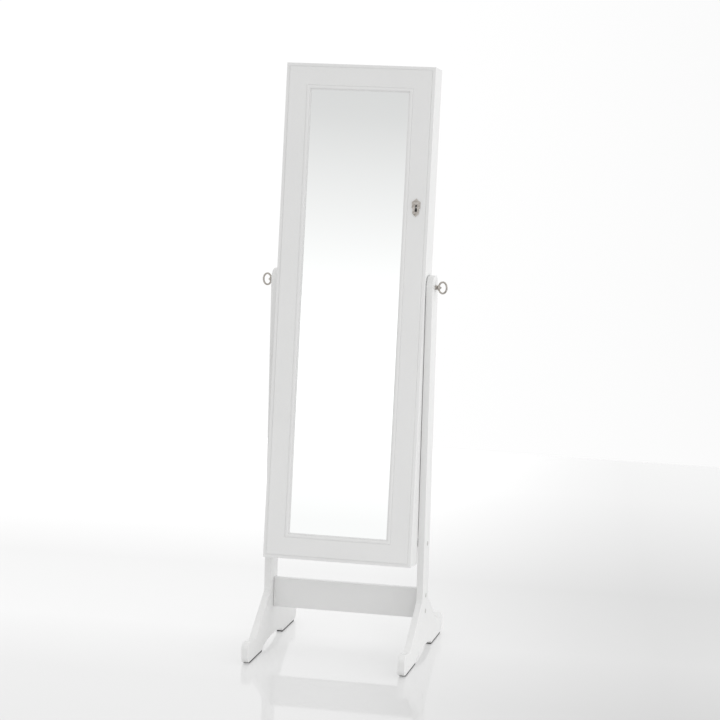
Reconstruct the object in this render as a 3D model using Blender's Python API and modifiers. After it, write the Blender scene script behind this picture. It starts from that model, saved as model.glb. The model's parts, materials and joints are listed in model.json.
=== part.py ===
"""Cheval mirror cabinet: a shallow lockable jewellery cabinet whose door is a full-length mirror.

The cabinet hangs on two ring-headed clamp bolts between a pair of side frames, which a cross rail joins.
World frame: X to the viewer's right, the mirror faces -Y, Z up, origin on the floor below the pivot.
Cabinet frame: the same axes with the origin on the pivot, leaning back with the cabinet. Metres throughout.
"""

from math import atan2, cos, pi, radians, sin

import bmesh
import bpy
from mathutils import Matrix, Vector

COLLECTION_NAME = "cheval_mirror_cabinet"
GAP = 0.0003  # clearance kept between neighbouring pieces
OVERCUT = 0.002  # how far a cutter reaches past the face that it opens

# ---- stand ----
PIVOT_HEIGHT = 0.922
FRAME_INNER_X = 0.1866
FRAME_THICKNESS = 0.0165
FRAME_OUTER_X = FRAME_INNER_X + FRAME_THICKNESS
FRAME_BOTTOM = 0.0034
FRAME_ROUNDING = 0.0012
POST_HALF_DEPTH = 0.0345
POST_TOP = 0.0285  # above the pivot
POST_CORNER_RADIUS = 0.0265
KINK_HEIGHT = 0.140
KINK_RADIUS = 0.016
SLOPE_END = (0.176, 0.0465)
SLOPE_END_RADIUS = 0.006
TOE_TIP = 0.244
TOE_CREST = 0.054
TOE_TOP_RADIUS = 0.0165
TOE_BOTTOM_RADIUS = 0.0155
GLIDE_START = 0.103
GLIDE_END = 0.223
ARCH_HALF_LENGTH = 0.099
ARCH_RISER = 0.005
ARCH_HEIGHT = 0.017
GLIDE_WIDTH = 0.015
GLIDE_THICKNESS = 0.0031

CAP_RECESS_RADIUS = 0.0050
CAP_RECESS_DEPTH = 0.0055
SCREW_HOLE_RADIUS = 0.0037
SCREW_HEAD_RADIUS = 0.0046
SCREW_HEAD_DEPTH = 0.0030  # from the frame's outer face to the top of the head
SCREW_SHOULDER_RADIUS = 0.0033
SCREW_SHANK_RADIUS = 0.0025
RAIL_SCREW_TIP = 0.150
STOP_SCREW_TIP = 0.180
RAIL_BOTTOM = 0.0916
RAIL_HEIGHT = 0.075
RAIL_THICKNESS = 0.016
RAIL_Y = 0.006
RAIL_SCREW_HEIGHTS = (0.109, 0.149)

STOP_HEIGHT = 0.281
STOP_RADIUS = 0.0105
STOP_LENGTH = 0.012

# ---- pivot ----
BOLT_RADIUS = 0.003
WASHER_RADIUS = 0.012
INSERT_FLANGE_RADIUS = 0.010
INSERT_BARREL_RADIUS = 0.0048
INSERT_FLANGE_THICKNESS = 0.0012
RING_CENTRE_OUT = 0.0185
RING_HALF_WIDTH = 0.0098
RING_HALF_HEIGHT = 0.0138
RING_WIRE_RADIUS = 0.0023
RING_HEAD_RADIUS = 0.0084

# ---- cabinet, in its own frame ----
LEAN = radians(6.06)
CABINET_HEIGHT = 1.220
PIVOT_ABOVE_BOTTOM = 0.6865
BOTTOM_Z = -PIVOT_ABOVE_BOTTOM
TOP_Z = CABINET_HEIGHT - PIVOT_ABOVE_BOTTOM
MIDDLE_Z = (BOTTOM_Z + TOP_Z) / 2
CARCASS_HALF_WIDTH = 0.1856
CARCASS_FRONT = -0.0345
CARCASS_BACK = 0.0365
BOARD = 0.012
BACK_THICKNESS = 0.003
LINING_THICKNESS = 0.002
INNER_HALF_WIDTH = CARCASS_HALF_WIDTH - BOARD
BACK_FRONT = CARCASS_BACK - BACK_THICKNESS
LINING_BACK = BACK_FRONT - GAP
LINING_FRONT = LINING_BACK - LINING_THICKNESS

SHELF_THICKNESS = 0.008
SHELF_FRONT = -0.028
DIVIDER_Z = 0.030
RING_SHELF_Z = -0.270
LOWER_SHELF_Z = -0.475
LIP_HEIGHT = 0.026
LIP_THICKNESS = 0.005
CUSHION_HEIGHT = 0.013
NECKLACE_RAIL_Z = 0.462
EARRING_BAR_Z = (-0.200, -0.130, -0.060)
EARRING_BAR_Y = 0.008

# ---- mirror door, in the cabinet frame ----
DOOR_HALF_WIDTH = 0.186
DOOR_FRONT = -0.050
DOOR_BACK = -0.035
EDGE_STRIP = 0.0085  # width of the lowered, sloping strip round the door
FRAME_FACE = 0.0525  # from the door's edge to the moulded bead
BEAD_INNER = 0.0640  # from the door's edge to the glass
BEAD_BACK = -0.0445
BEAD_HALF_WIDTH = 0.0038
BEAD_CREST_Y = -0.0508
BEAD_SPRING_Y = -0.0489
GLASS_THICKNESS = 0.004
BACKING_THICKNESS = 0.0045
HINGE_HEIGHTS = (-0.560, -0.190, 0.410)
HINGE_X = -DOOR_HALF_WIDTH
HINGE_Y = DOOR_BACK
LEAF_HEIGHT = 0.040
KNUCKLE_RADIUS = 0.0026
HINGE_PIN_RADIUS = 0.0011
LEAF_HOLE_RADIUS = 0.0017
PILOT_DEPTH = 0.0105

# ---- lock ----
LOCK_X = DOOR_HALF_WIDTH - 0.0315
LOCK_Z = TOP_Z - 0.342
LOCK_CASE_HALF = (0.018, 0.022)
LOCK_CASE_CENTRE_X = 0.1515
LOCK_CASE_THICKNESS = 0.010
LOCK_BOLT_HEIGHT = 0.012
LOCK_BOLT_THICKNESS = 0.004
LOCK_BOLT_LENGTH = 0.024
LOCK_BOLT_REACH = 0.0008  # how far its tip stands out of the case
MORTISE_DEPTH = 0.009
STRIKE_HALF_HEIGHT = 0.016
ESCUTCHEON_THICKNESS = 0.0014
KEYHOLE_EYE_UP = 0.0046
KEYHOLE_EYE_RADIUS = 0.0025
KEYHOLE_SLOT_HALF_WIDTH = 0.0019
KEYHOLE_SLOT_BOTTOM = -0.0096

# ---- magnetic catch ----
CATCH_HEIGHT = 0.36
CATCH_HALF_LENGTH = 0.019
CATCH_WIDTH = 0.014
CATCH_DEPTH = 0.014
CATCH_PLATE_HALF_LENGTH = 0.015
CATCH_PLATE_THICKNESS = 0.001

# colour, roughness, metallic
FINISHES = {
    "white_paint": ((0.84, 0.84, 0.83), 0.42, 0.0),
    "mirror_silver": ((0.93, 0.94, 0.94), 0.03, 1.0),
    "hardboard": ((0.36, 0.24, 0.15), 0.80, 0.0),
    "antique_nickel": ((0.36, 0.34, 0.29), 0.36, 1.0),
    "bright_steel": ((0.62, 0.62, 0.60), 0.32, 1.0),
    "brass": ((0.72, 0.55, 0.27), 0.35, 1.0),
    "black_rubber": ((0.03, 0.03, 0.03), 0.80, 0.0),
    "white_plastic": ((0.80, 0.80, 0.79), 0.45, 0.0),
    "nylon": ((0.66, 0.66, 0.64), 0.50, 0.0),
    "black_velvet": ((0.018, 0.017, 0.020), 0.95, 0.0),
}


# ---------------------------------------------------------------- scene and helpers

def clear_scene():
    for scene_object in list(bpy.data.objects):
        bpy.data.objects.remove(scene_object, do_unlink=True)


def make_collection(name):
    collection = bpy.data.collections.new(name)
    bpy.context.scene.collection.children.link(collection)
    return collection


clear_scene()
PARTS = make_collection(COLLECTION_NAME)
CUTTERS = make_collection("cutters")
BODIES = {}


def make_material(name, finish):
    colour, roughness, metallic = FINISHES[finish]
    material = bpy.data.materials.new(name)
    material.use_nodes = True
    shader = material.node_tree.nodes["Principled BSDF"]
    shader.inputs["Base Color"].default_value = (*colour, 1.0)
    shader.inputs["Roughness"].default_value = roughness
    shader.inputs["Metallic"].default_value = metallic
    return material


def add_axis(name, parent, location, rotation=(0.0, 0.0, 0.0)):
    """An empty on a joint's axis; pieces of the body hang from it."""
    axis = bpy.data.objects.new(name, None)
    axis.empty_display_size = 0.05
    PARTS.objects.link(axis)
    axis.parent = parent
    axis.location = location
    axis.rotation_euler = rotation
    return axis


def attach(piece, body):
    """Parents a piece to its body's axis, keeping coordinates of the cabinet frame inside the door."""
    axis = BODIES.get(body)
    if axis is None:
        return
    piece.parent = axis
    if body in ("door", "lock_bolt"):
        piece.matrix_parent_inverse = Matrix.Translation(-axis.location)


def finish_piece(piece, finish, body, smooth_angle=35.0):
    """Puts a piece in the collection, on its body and in its own material."""
    piece.data.materials.clear()
    piece.data.materials.append(make_material(piece.name, finish))
    if piece.name not in PARTS.objects:
        PARTS.objects.link(piece)
    if piece.type == "MESH":
        piece.data.shade_smooth()
        piece.data.set_sharp_from_angle(angle=radians(smooth_angle))
    attach(piece, body)
    return piece


def make_cutter(piece, body):
    piece.display_type = "WIRE"
    piece.hide_render = True
    CUTTERS.objects.link(piece)
    attach(piece, body)
    return piece


def mesh_object(name, builder_mesh, location=(0.0, 0.0, 0.0), rotation=(0.0, 0.0, 0.0)):
    mesh = bpy.data.meshes.new(name)
    builder_mesh.to_mesh(mesh)
    builder_mesh.free()
    piece = bpy.data.objects.new(name, mesh)
    piece.location = location
    piece.rotation_euler = rotation
    return piece


def block(name, low, high, rounding=0.0):
    """A box between two corners, with its origin at the centre and optionally rounded edges."""
    size = [b - a for a, b in zip(low, high)]
    centre = [(a + b) / 2 for a, b in zip(low, high)]
    shape = bmesh.new()
    bmesh.ops.create_cube(shape, size=1.0)
    bmesh.ops.scale(shape, vec=size, verts=shape.verts)
    piece = mesh_object(name, shape, centre)
    if rounding:
        round_edges(piece, rounding)
    return piece


def round_edges(piece, width, segments=2, angle=40.0):
    bevel = piece.modifiers.new("rounded_edges", "BEVEL")
    bevel.width = width
    bevel.segments = segments
    bevel.limit_method = "ANGLE"
    bevel.angle_limit = radians(angle)


def turned(name, profile, segments=24, location=(0.0, 0.0, 0.0), rotation=(0.0, 0.0, 0.0)):
    """A turned piece: (radius, height) points down its outer side, spun about Z by a Screw modifier."""
    mesh = bpy.data.meshes.new(name)
    closed = profile[0][0] > 0
    count = len(profile)
    edges = [(i, i + 1) for i in range(count - 1)]
    if closed:
        edges.append((count - 1, 0))
    mesh.from_pydata([(radius, 0.0, height) for radius, height in profile], edges, [])
    piece = bpy.data.objects.new(name, mesh)
    piece.location = location
    piece.rotation_euler = rotation
    spin = piece.modifiers.new("turn", "SCREW")
    spin.steps = segments
    spin.render_steps = segments
    spin.use_merge_vertices = True
    spin.merge_threshold = 0.00001
    return piece


def cylinder_profile(radius, low, high):
    return [(0.0, high), (radius, high), (radius, low), (0.0, low)]


def subtract(target, cutter):
    boolean = target.modifiers.new("cut_" + cutter.name, "BOOLEAN")
    boolean.operation = "DIFFERENCE"
    boolean.object = cutter


def baked(source):
    """The evaluated mesh of an object that isn't kept, in the object's parent space."""
    temporary = source.name not in PARTS.objects
    if temporary:
        PARTS.objects.link(source)
    bpy.context.view_layer.update()
    evaluated = source.evaluated_get(bpy.context.evaluated_depsgraph_get())
    mesh = bpy.data.meshes.new_from_object(evaluated)
    mesh.transform(source.matrix_basis)
    bpy.data.objects.remove(source, do_unlink=True)
    return mesh


def shared_copy(name, mesh, location):
    """One of several identical pieces that share a mesh."""
    piece = bpy.data.objects.new(name, mesh)
    piece.location = location
    return piece


def union(name, first, *others):
    """One solid from several overlapping ones."""
    for other in others:
        boolean = first.modifiers.new("join_" + other.name, "BOOLEAN")
        boolean.operation = "UNION"
        boolean.object = other
        PARTS.objects.link(other)
    mesh = baked(first)
    for other in others:
        bpy.data.objects.remove(other, do_unlink=True)
    piece = bpy.data.objects.new(name, mesh)
    return piece


def flat_board(name, outline, thickness, location, rotation):
    """A board sawn to an outline: a filled 2D curve, extruded and made a mesh so that it can be cut."""
    curve = bpy.data.curves.new(name, "CURVE")
    curve.dimensions = "2D"
    curve.fill_mode = "BOTH"
    curve.extrude = thickness / 2
    spline = curve.splines.new("POLY")
    spline.points.add(len(outline) - 1)
    for point, (across, up) in zip(spline.points, outline):
        point.co = (across, up, 0.0, 1.0)
    spline.use_cyclic_u = True
    mesh = baked(bpy.data.objects.new(name + "_outline", curve))
    shape = bmesh.new()
    shape.from_mesh(mesh)
    bmesh.ops.remove_doubles(shape, verts=shape.verts, dist=0.00001)
    bmesh.ops.dissolve_limit(shape, angle_limit=radians(0.5), verts=shape.verts, edges=shape.edges)
    return mesh_object(name, shape, location, rotation)


def arc(centre, radius, start, end, steps):
    """Points on an arc, angles in degrees, both ends included."""
    angles = [radians(start + (end - start) * i / steps) for i in range(steps + 1)]
    return [(centre[0] + radius * cos(a), centre[1] + radius * sin(a)) for a in angles]


def fillet(before, corner, after, radius, steps):
    """Points that round the corner between two straight runs."""
    corner_v = Vector(corner)
    back = (Vector(before) - corner_v).normalized()
    ahead = (Vector(after) - corner_v).normalized()
    half_angle = back.angle(ahead) / 2
    reach = radius / (sin(half_angle) / cos(half_angle))
    centre = corner_v + (back + ahead).normalized() * (radius / sin(half_angle))
    first = corner_v + back * reach - centre
    last = corner_v + ahead * reach - centre
    start = atan2(first.y, first.x)
    turn = (atan2(last.y, last.x) - start + pi) % (2 * pi) - pi
    angles = [start + turn * i / steps for i in range(steps + 1)]
    return [(centre.x + radius * cos(a), centre.y + radius * sin(a)) for a in angles]


def along_x(side):
    """Turns a piece modelled along +Z to point outwards along X on one side."""
    return (0.0, side * pi / 2, 0.0)


def side_name(side):
    return "left" if side < 0 else "right"


def mirrored_pair(low, high):
    """The corners of the same box on the other side of the YZ plane."""
    return (-high[0], low[1], low[2]), (-low[0], high[1], high[2])


# ---------------------------------------------------------------- bodies

def make_bodies():
    tilt = add_axis("tilt_axis", None, (0.0, 0.0, PIVOT_HEIGHT), (-LEAN, 0.0, 0.0))
    BODIES["cabinet"] = tilt
    BODIES["door"] = add_axis("door_hinge_axis", tilt, (HINGE_X, HINGE_Y, 0.0))
    lock_place = (LOCK_CASE_CENTRE_X, DOOR_BACK + LOCK_CASE_THICKNESS / 2, LOCK_Z)
    BODIES["lock_bolt"] = add_axis("lock_bolt_axis", tilt, lock_place)


# ---------------------------------------------------------------- stand

def side_frame_outline():
    """Outline of a side frame as (y, z) points: round-cornered post on a long, low, symmetric foot."""
    post_side = (POST_HALF_DEPTH, PIVOT_HEIGHT)
    kink = (POST_HALF_DEPTH, KINK_HEIGHT)
    toe_top = (TOE_TIP - TOE_TOP_RADIUS, TOE_CREST - TOE_TOP_RADIUS)
    toe_bottom = (TOE_TIP - TOE_BOTTOM_RADIUS, FRAME_BOTTOM + TOE_BOTTOM_RADIUS)
    corner_y = POST_HALF_DEPTH - POST_CORNER_RADIUS
    corner_z = PIVOT_HEIGHT + POST_TOP - POST_CORNER_RADIUS
    half = arc((corner_y, corner_z), POST_CORNER_RADIUS, 90, 0, 12)
    half += fillet(post_side, kink, SLOPE_END, KINK_RADIUS, 4)
    half += fillet(kink, SLOPE_END, (toe_top[0], TOE_CREST), SLOPE_END_RADIUS, 3)
    half += arc(toe_top, TOE_TOP_RADIUS, 98, 0, 8)
    half += arc(toe_bottom, TOE_BOTTOM_RADIUS, 0, -90, 7)
    half.append((ARCH_HALF_LENGTH + 0.002, FRAME_BOTTOM))
    half += arch_points()
    mirrored = [(-y, z) for y, z in reversed(half)]
    return half + mirrored


def arch_points():
    """Right half of the shallow arch under the foot, from its end to just before the middle."""
    springing = FRAME_BOTTOM + ARCH_RISER
    rise = ARCH_HEIGHT - ARCH_RISER
    radius = (ARCH_HALF_LENGTH ** 2 + rise ** 2) / (2 * rise)
    steps = 8
    points = []
    for i in range(steps):
        y = ARCH_HALF_LENGTH * (1 - i / steps)
        drop = radius - (radius ** 2 - y ** 2) ** 0.5
        points.append((y, springing + rise - drop))
    return points


def screw_hole_cutter(name, side, height):
    """Cuts a through hole with a counterbore for the head and its cover cap."""
    outside = FRAME_OUTER_X + OVERCUT
    inner_end = FRAME_INNER_X - OVERCUT
    counterbore_floor = FRAME_OUTER_X - CAP_RECESS_DEPTH
    profile = [
        (0.0, outside),
        (CAP_RECESS_RADIUS, outside),
        (CAP_RECESS_RADIUS, counterbore_floor),
        (SCREW_HOLE_RADIUS, counterbore_floor),
        (SCREW_HOLE_RADIUS, inner_end),
        (0.0, inner_end),
    ]
    return make_cutter(turned(name, profile, 16, (0.0, RAIL_Y, height), along_x(side)), "stand")


def make_side_frame(side):
    name = "side_frame_" + side_name(side)
    centre_x = side * (FRAME_INNER_X + FRAME_THICKNESS / 2)
    turn = (pi / 2, 0.0, pi / 2)
    frame = flat_board(name, side_frame_outline(), FRAME_THICKNESS, (centre_x, 0.0, 0.0), turn)
    round_edges(frame, FRAME_ROUNDING, segments=2, angle=60.0)
    reach = (FRAME_INNER_X - OVERCUT, FRAME_OUTER_X + OVERCUT)
    pivot_hole = cylinder_profile(BOLT_RADIUS + GAP, *reach)
    place = (0.0, 0.0, PIVOT_HEIGHT)
    cutter = turned(name + "_pivot_hole", pivot_hole, 24, place, along_x(side))
    subtract(frame, make_cutter(cutter, "stand"))
    for index, height in enumerate((*RAIL_SCREW_HEIGHTS, STOP_HEIGHT)):
        subtract(frame, screw_hole_cutter(f"{name}_screw_hole_{index}", side, height))
    finish_piece(frame, "white_paint", "stand")


def screw_profile(tip):
    """A flat-headed carcass screw under its cover cap, from head to tip."""
    head_top = FRAME_OUTER_X - SCREW_HEAD_DEPTH
    head_bottom = FRAME_OUTER_X - CAP_RECESS_DEPTH + GAP
    chamfer = 0.0006
    return [
        (0.0, head_top),
        (SCREW_HEAD_RADIUS - chamfer, head_top),
        (SCREW_HEAD_RADIUS, head_top - chamfer),
        (SCREW_HEAD_RADIUS, head_bottom),
        (SCREW_SHOULDER_RADIUS, head_bottom),
        (SCREW_SHOULDER_RADIUS, FRAME_INNER_X + 0.001),
        (SCREW_SHANK_RADIUS, FRAME_INNER_X),
        (SCREW_SHANK_RADIUS, tip + 0.003),
        (0.0, tip),
    ]


def make_cross_rail():
    half_length = FRAME_INNER_X - GAP
    low = (-half_length, RAIL_Y - RAIL_THICKNESS / 2, RAIL_BOTTOM)
    high = (half_length, RAIL_Y + RAIL_THICKNESS / 2, RAIL_BOTTOM + RAIL_HEIGHT)
    rail = block("cross_rail", low, high, FRAME_ROUNDING)
    for side in (-1, 1):
        for index, height in enumerate(RAIL_SCREW_HEIGHTS):
            name = f"rail_hole_{side_name(side)}_{index}"
            reach = (RAIL_SCREW_TIP - 0.004, half_length + OVERCUT)
            profile = cylinder_profile(SCREW_SHANK_RADIUS + GAP, *reach)
            hole = turned(name, profile, 12, (0.0, RAIL_Y, height), along_x(side))
            subtract(rail, make_cutter(hole, "stand"))
    finish_piece(rail, "white_paint", "stand")


def make_carcass_screw(name, side, height, tip):
    screw = turned(name, screw_profile(tip), 12, (0.0, RAIL_Y, height), along_x(side))
    finish_piece(screw, "bright_steel", "stand")


def make_screws(side):
    for level, height in zip(("lower", "upper"), RAIL_SCREW_HEIGHTS):
        make_carcass_screw(f"rail_screw_{side_name(side)}_{level}", side, height, RAIL_SCREW_TIP)
    make_carcass_screw("stop_screw_" + side_name(side), side, STOP_HEIGHT, STOP_SCREW_TIP)


def make_tilt_stop(side):
    """Round buffer behind the cabinet that stops it swinging upright."""
    outer = FRAME_INNER_X - GAP
    inner = outer - STOP_LENGTH
    bore = SCREW_SHANK_RADIUS + GAP
    chamfer = 0.0007
    profile = [
        (0.0, inner + 0.004),
        (bore, inner + 0.004),
        (bore, outer),
        (STOP_RADIUS - chamfer, outer),
        (STOP_RADIUS, outer - chamfer),
        (STOP_RADIUS, inner + chamfer),
        (STOP_RADIUS - chamfer, inner),
        (0.0, inner),
    ]
    place = (0.0, RAIL_Y, STOP_HEIGHT)
    stop = turned("tilt_stop_" + side_name(side), profile, 24, place, along_x(side))
    finish_piece(stop, "black_rubber", "stand")


def make_foot_glides(side):
    middle_x = side * (FRAME_INNER_X + FRAME_THICKNESS / 2)
    for end, direction in (("front", -1), ("rear", 1)):
        near, far = sorted((direction * GLIDE_START, direction * GLIDE_END))
        low = (middle_x - GLIDE_WIDTH / 2, near, 0.0)
        high = (middle_x + GLIDE_WIDTH / 2, far, GLIDE_THICKNESS)
        glide = block(f"foot_glide_{end}_{side_name(side)}", low, high)
        finish_piece(glide, "black_rubber", "stand")


# ---------------------------------------------------------------- pivot

def sleeve_profile(inner_radius, outer_radius, low, high):
    return [(outer_radius, high), (outer_radius, low), (inner_radius, low), (inner_radius, high)]


def make_pivot_hardware(side):
    name = side_name(side)
    place = (0.0, 0.0, PIVOT_HEIGHT)
    bore = BOLT_RADIUS + GAP
    washer_profile = sleeve_profile(bore, WASHER_RADIUS, CARCASS_HALF_WIDTH + GAP, FRAME_INNER_X - GAP)
    washer = turned("spacer_washer_" + name, washer_profile, 24, place, along_x(side))
    finish_piece(washer, "nylon", "stand")

    flange_outer = INNER_HALF_WIDTH - GAP
    flange_inner = flange_outer - INSERT_FLANGE_THICKNESS
    insert_profile = [
        (INSERT_BARREL_RADIUS, CARCASS_HALF_WIDTH - GAP),
        (INSERT_BARREL_RADIUS, flange_outer),
        (INSERT_FLANGE_RADIUS, flange_outer),
        (INSERT_FLANGE_RADIUS, flange_inner),
        (bore, flange_inner),
        (bore, CARCASS_HALF_WIDTH - GAP),
    ]
    insert = turned("pivot_insert_" + name, insert_profile, 24, (0.0, 0.0, 0.0), along_x(side))
    finish_piece(insert, "brass", "cabinet")


def bolt_profile():
    """Ring bolt from its outer nub inwards: nub, flared head, neck, collar, shank."""
    face = FRAME_OUTER_X
    inner_end = INNER_HALF_WIDTH - 0.007
    return [
        (0.0, face + 0.0157),
        (0.0016, face + 0.0154),
        (0.0023, face + 0.0145),
        (0.0024, face + 0.0125),
        (RING_HEAD_RADIUS - 0.0016, face + 0.0114),
        (RING_HEAD_RADIUS, face + 0.0098),
        (RING_HEAD_RADIUS - 0.0001, face + 0.0084),
        (0.0045, face + 0.0050),
        (0.0042, face + 0.0042),
        (0.0050, face + 0.0037),
        (0.0050, face + 0.0008),
        (0.0046, face + GAP),
        (BOLT_RADIUS, face + GAP),
        (BOLT_RADIUS, inner_end + 0.001),
        (BOLT_RADIUS - 0.001, inner_end),
        (0.0, inner_end),
    ]


def make_ring(name, side):
    """The oval pull ring in the XZ plane, as a solid that can be joined to the bolt."""
    curve = bpy.data.curves.new(name, "CURVE")
    curve.dimensions = "3D"
    curve.bevel_depth = RING_WIRE_RADIUS
    curve.bevel_resolution = 2
    spline = curve.splines.new("POLY")
    steps = 32
    spline.points.add(steps - 1)
    for i, point in enumerate(spline.points):
        angle = 2 * pi * i / steps
        x = side * (FRAME_OUTER_X + RING_CENTRE_OUT) + RING_HALF_WIDTH * cos(angle)
        point.co = (x, 0.0, RING_HALF_HEIGHT * sin(angle), 1.0)
    spline.use_cyclic_u = True
    return bpy.data.objects.new(name, baked(bpy.data.objects.new(name + "_wire", curve)))


def make_ring_bolt(side):
    name = "ring_bolt_" + side_name(side)
    bolt = turned(name + "_shank", bolt_profile(), 24, (0.0, 0.0, 0.0), along_x(side))
    piece = union(name, bolt, make_ring(name + "_ring", side))
    piece.location = (0.0, 0.0, PIVOT_HEIGHT)
    finish_piece(piece, "antique_nickel", "stand")


# ---------------------------------------------------------------- cabinet

def make_cabinet_side(side):
    name = "cabinet_side_" + side_name(side)
    low = (INNER_HALF_WIDTH, CARCASS_FRONT, BOTTOM_Z)
    high = (CARCASS_HALF_WIDTH, CARCASS_BACK, TOP_Z)
    if side < 0:
        low, high = mirrored_pair(low, high)
    board = block(name, low, high, 0.0008)
    reach = (INNER_HALF_WIDTH - OVERCUT, CARCASS_HALF_WIDTH + OVERCUT)
    hole_profile = cylinder_profile(INSERT_BARREL_RADIUS + GAP, *reach)
    hole = turned(name + "_insert_hole", hole_profile, 24, (0.0, 0.0, 0.0), along_x(side))
    subtract(board, make_cutter(hole, "cabinet"))
    if side < 0:
        cut_hinge_seats(board, "cabinet")
    else:
        bolt_y = DOOR_BACK + LOCK_CASE_THICKNESS / 2
        half_y = LOCK_BOLT_THICKNESS / 2 + 0.0008
        half_z = LOCK_BOLT_HEIGHT / 2 + 0.0010
        low = (INNER_HALF_WIDTH - OVERCUT, bolt_y - half_y, LOCK_Z - half_z)
        high = (INNER_HALF_WIDTH + MORTISE_DEPTH, bolt_y + half_y, LOCK_Z + half_z)
        subtract(board, make_cutter(block("bolt_mortise", low, high), "cabinet"))
    finish_piece(board, "white_paint", "cabinet")


def make_carcass():
    for side in (-1, 1):
        make_cabinet_side(side)
    half_width = INNER_HALF_WIDTH - GAP
    inner_back = BACK_FRONT - GAP
    for name, low_z in (("cabinet_bottom", BOTTOM_Z), ("cabinet_top", TOP_Z - BOARD)):
        low = (-half_width, CARCASS_FRONT, low_z)
        high = (half_width, inner_back, low_z + BOARD)
        finish_piece(block(name, low, high, 0.0006), "white_paint", "cabinet")
    low = (-half_width, BACK_FRONT, BOTTOM_Z)
    high = (half_width, CARCASS_BACK, TOP_Z)
    finish_piece(block("cabinet_back", low, high), "white_paint", "cabinet")
    low = (-half_width, LINING_FRONT, BOTTOM_Z + BOARD + GAP)
    high = (half_width, LINING_BACK, TOP_Z - BOARD - GAP)
    finish_piece(block("lining_panel", low, high), "black_velvet", "cabinet")


def make_shelf(name, middle_z):
    half_width = INNER_HALF_WIDTH - GAP
    low = (-half_width, SHELF_FRONT, middle_z - SHELF_THICKNESS / 2)
    high = (half_width, LINING_FRONT - GAP, middle_z + SHELF_THICKNESS / 2)
    finish_piece(block(name, low, high, 0.0006), "white_paint", "cabinet")


def make_lip(name, shelf_z):
    """Strip along a shelf's front edge that keeps small things on it."""
    half_width = INNER_HALF_WIDTH - GAP
    bottom = shelf_z - SHELF_THICKNESS / 2
    low = (-half_width, SHELF_FRONT - GAP - LIP_THICKNESS, bottom)
    high = (half_width, SHELF_FRONT - GAP, bottom + LIP_HEIGHT)
    finish_piece(block(name, low, high, 0.0010), "white_paint", "cabinet")


def make_shelves():
    make_shelf("divider_shelf", DIVIDER_Z)
    make_shelf("ring_shelf", RING_SHELF_Z)
    make_shelf("lower_shelf", LOWER_SHELF_Z)
    make_lip("ring_shelf_lip", RING_SHELF_Z)
    make_lip("lower_shelf_lip", LOWER_SHELF_Z)


def make_ring_cushion():
    """Padded insert on the ring shelf; rings are pushed into it."""
    bottom = RING_SHELF_Z + SHELF_THICKNESS / 2 + GAP
    half_width = INNER_HALF_WIDTH - 0.002
    low = (-half_width, SHELF_FRONT + 0.001, bottom)
    high = (half_width, LINING_FRONT - GAP - 0.001, bottom + CUSHION_HEIGHT)
    finish_piece(block("ring_cushion", low, high, 0.0040), "black_velvet", "cabinet")


def make_necklace_rail():
    half_width = INNER_HALF_WIDTH - GAP
    front = LINING_FRONT - GAP - 0.010
    low = (-half_width, front, NECKLACE_RAIL_Z - 0.010)
    high = (half_width, LINING_FRONT - GAP, NECKLACE_RAIL_Z + 0.010)
    finish_piece(block("necklace_rail", low, high, 0.0010), "white_paint", "cabinet")


def arc_angles(start, end, steps):
    """Angles in radians between two angles in degrees, without the first."""
    return [radians(start + (end - start) * i / steps) for i in range(1, steps + 1)]


def make_earring_rack():
    low_z = EARRING_BAR_Z[0] - 0.015
    high_z = EARRING_BAR_Z[-1] + 0.015
    bar_end = INNER_HALF_WIDTH - GAP - 0.002
    for side in (-1, 1):
        low = (INNER_HALF_WIDTH - GAP - 0.008, EARRING_BAR_Y - 0.006, low_z)
        high = (INNER_HALF_WIDTH - GAP, EARRING_BAR_Y + 0.006, high_z)
        if side < 0:
            low, high = mirrored_pair(low, high)
        bracket = block("earring_bracket_" + side_name(side), low, high, 0.0008)
        for index, bar_z in enumerate(EARRING_BAR_Z):
            profile = cylinder_profile(0.0023, bar_end - 0.010, bar_end + GAP)
            name = f"bar_socket_{side_name(side)}_{index}"
            socket = turned(name, profile, 12, (0.0, EARRING_BAR_Y, bar_z), along_x(side))
            subtract(bracket, make_cutter(socket, "cabinet"))
        finish_piece(bracket, "white_paint", "cabinet")
    for number, bar_z in enumerate(EARRING_BAR_Z, start=1):
        profile = cylinder_profile(0.0020, -bar_end, bar_end)
        place = (0.0, EARRING_BAR_Y, bar_z)
        bar = turned(f"earring_bar_{number}", profile, 12, place, along_x(1))
        finish_piece(bar, "antique_nickel", "cabinet")


def make_catch():
    """Magnetic catch near the top right and its steel plate on the door."""
    plate_back = DOOR_BACK + GAP + CATCH_PLATE_THICKNESS
    magnet_front = plate_back + 0.0007
    low = (INNER_HALF_WIDTH - GAP - CATCH_WIDTH, magnet_front, CATCH_HEIGHT - CATCH_HALF_LENGTH)
    high = (INNER_HALF_WIDTH - GAP, magnet_front + CATCH_DEPTH, CATCH_HEIGHT + CATCH_HALF_LENGTH)
    finish_piece(block("magnet_catch", low, high, 0.0012), "white_plastic", "cabinet")
    low = (INNER_HALF_WIDTH - 0.015, DOOR_BACK + GAP, CATCH_HEIGHT - CATCH_PLATE_HALF_LENGTH)
    high = (INNER_HALF_WIDTH - 0.003, plate_back, CATCH_HEIGHT + CATCH_PLATE_HALF_LENGTH)
    finish_piece(block("catch_plate", low, high, 0.0003), "bright_steel", "door")


# ---------------------------------------------------------------- hinges

def leaf_box(body):
    """Where a leaf's plate lies, as (x0, y0) and (x1, y1) from the hinge axis."""
    if body == "door":
        return (0.0032, -0.0012), (0.0115, -0.0002)
    return (0.0032, 0.0007), (0.0115, 0.0017)


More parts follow.
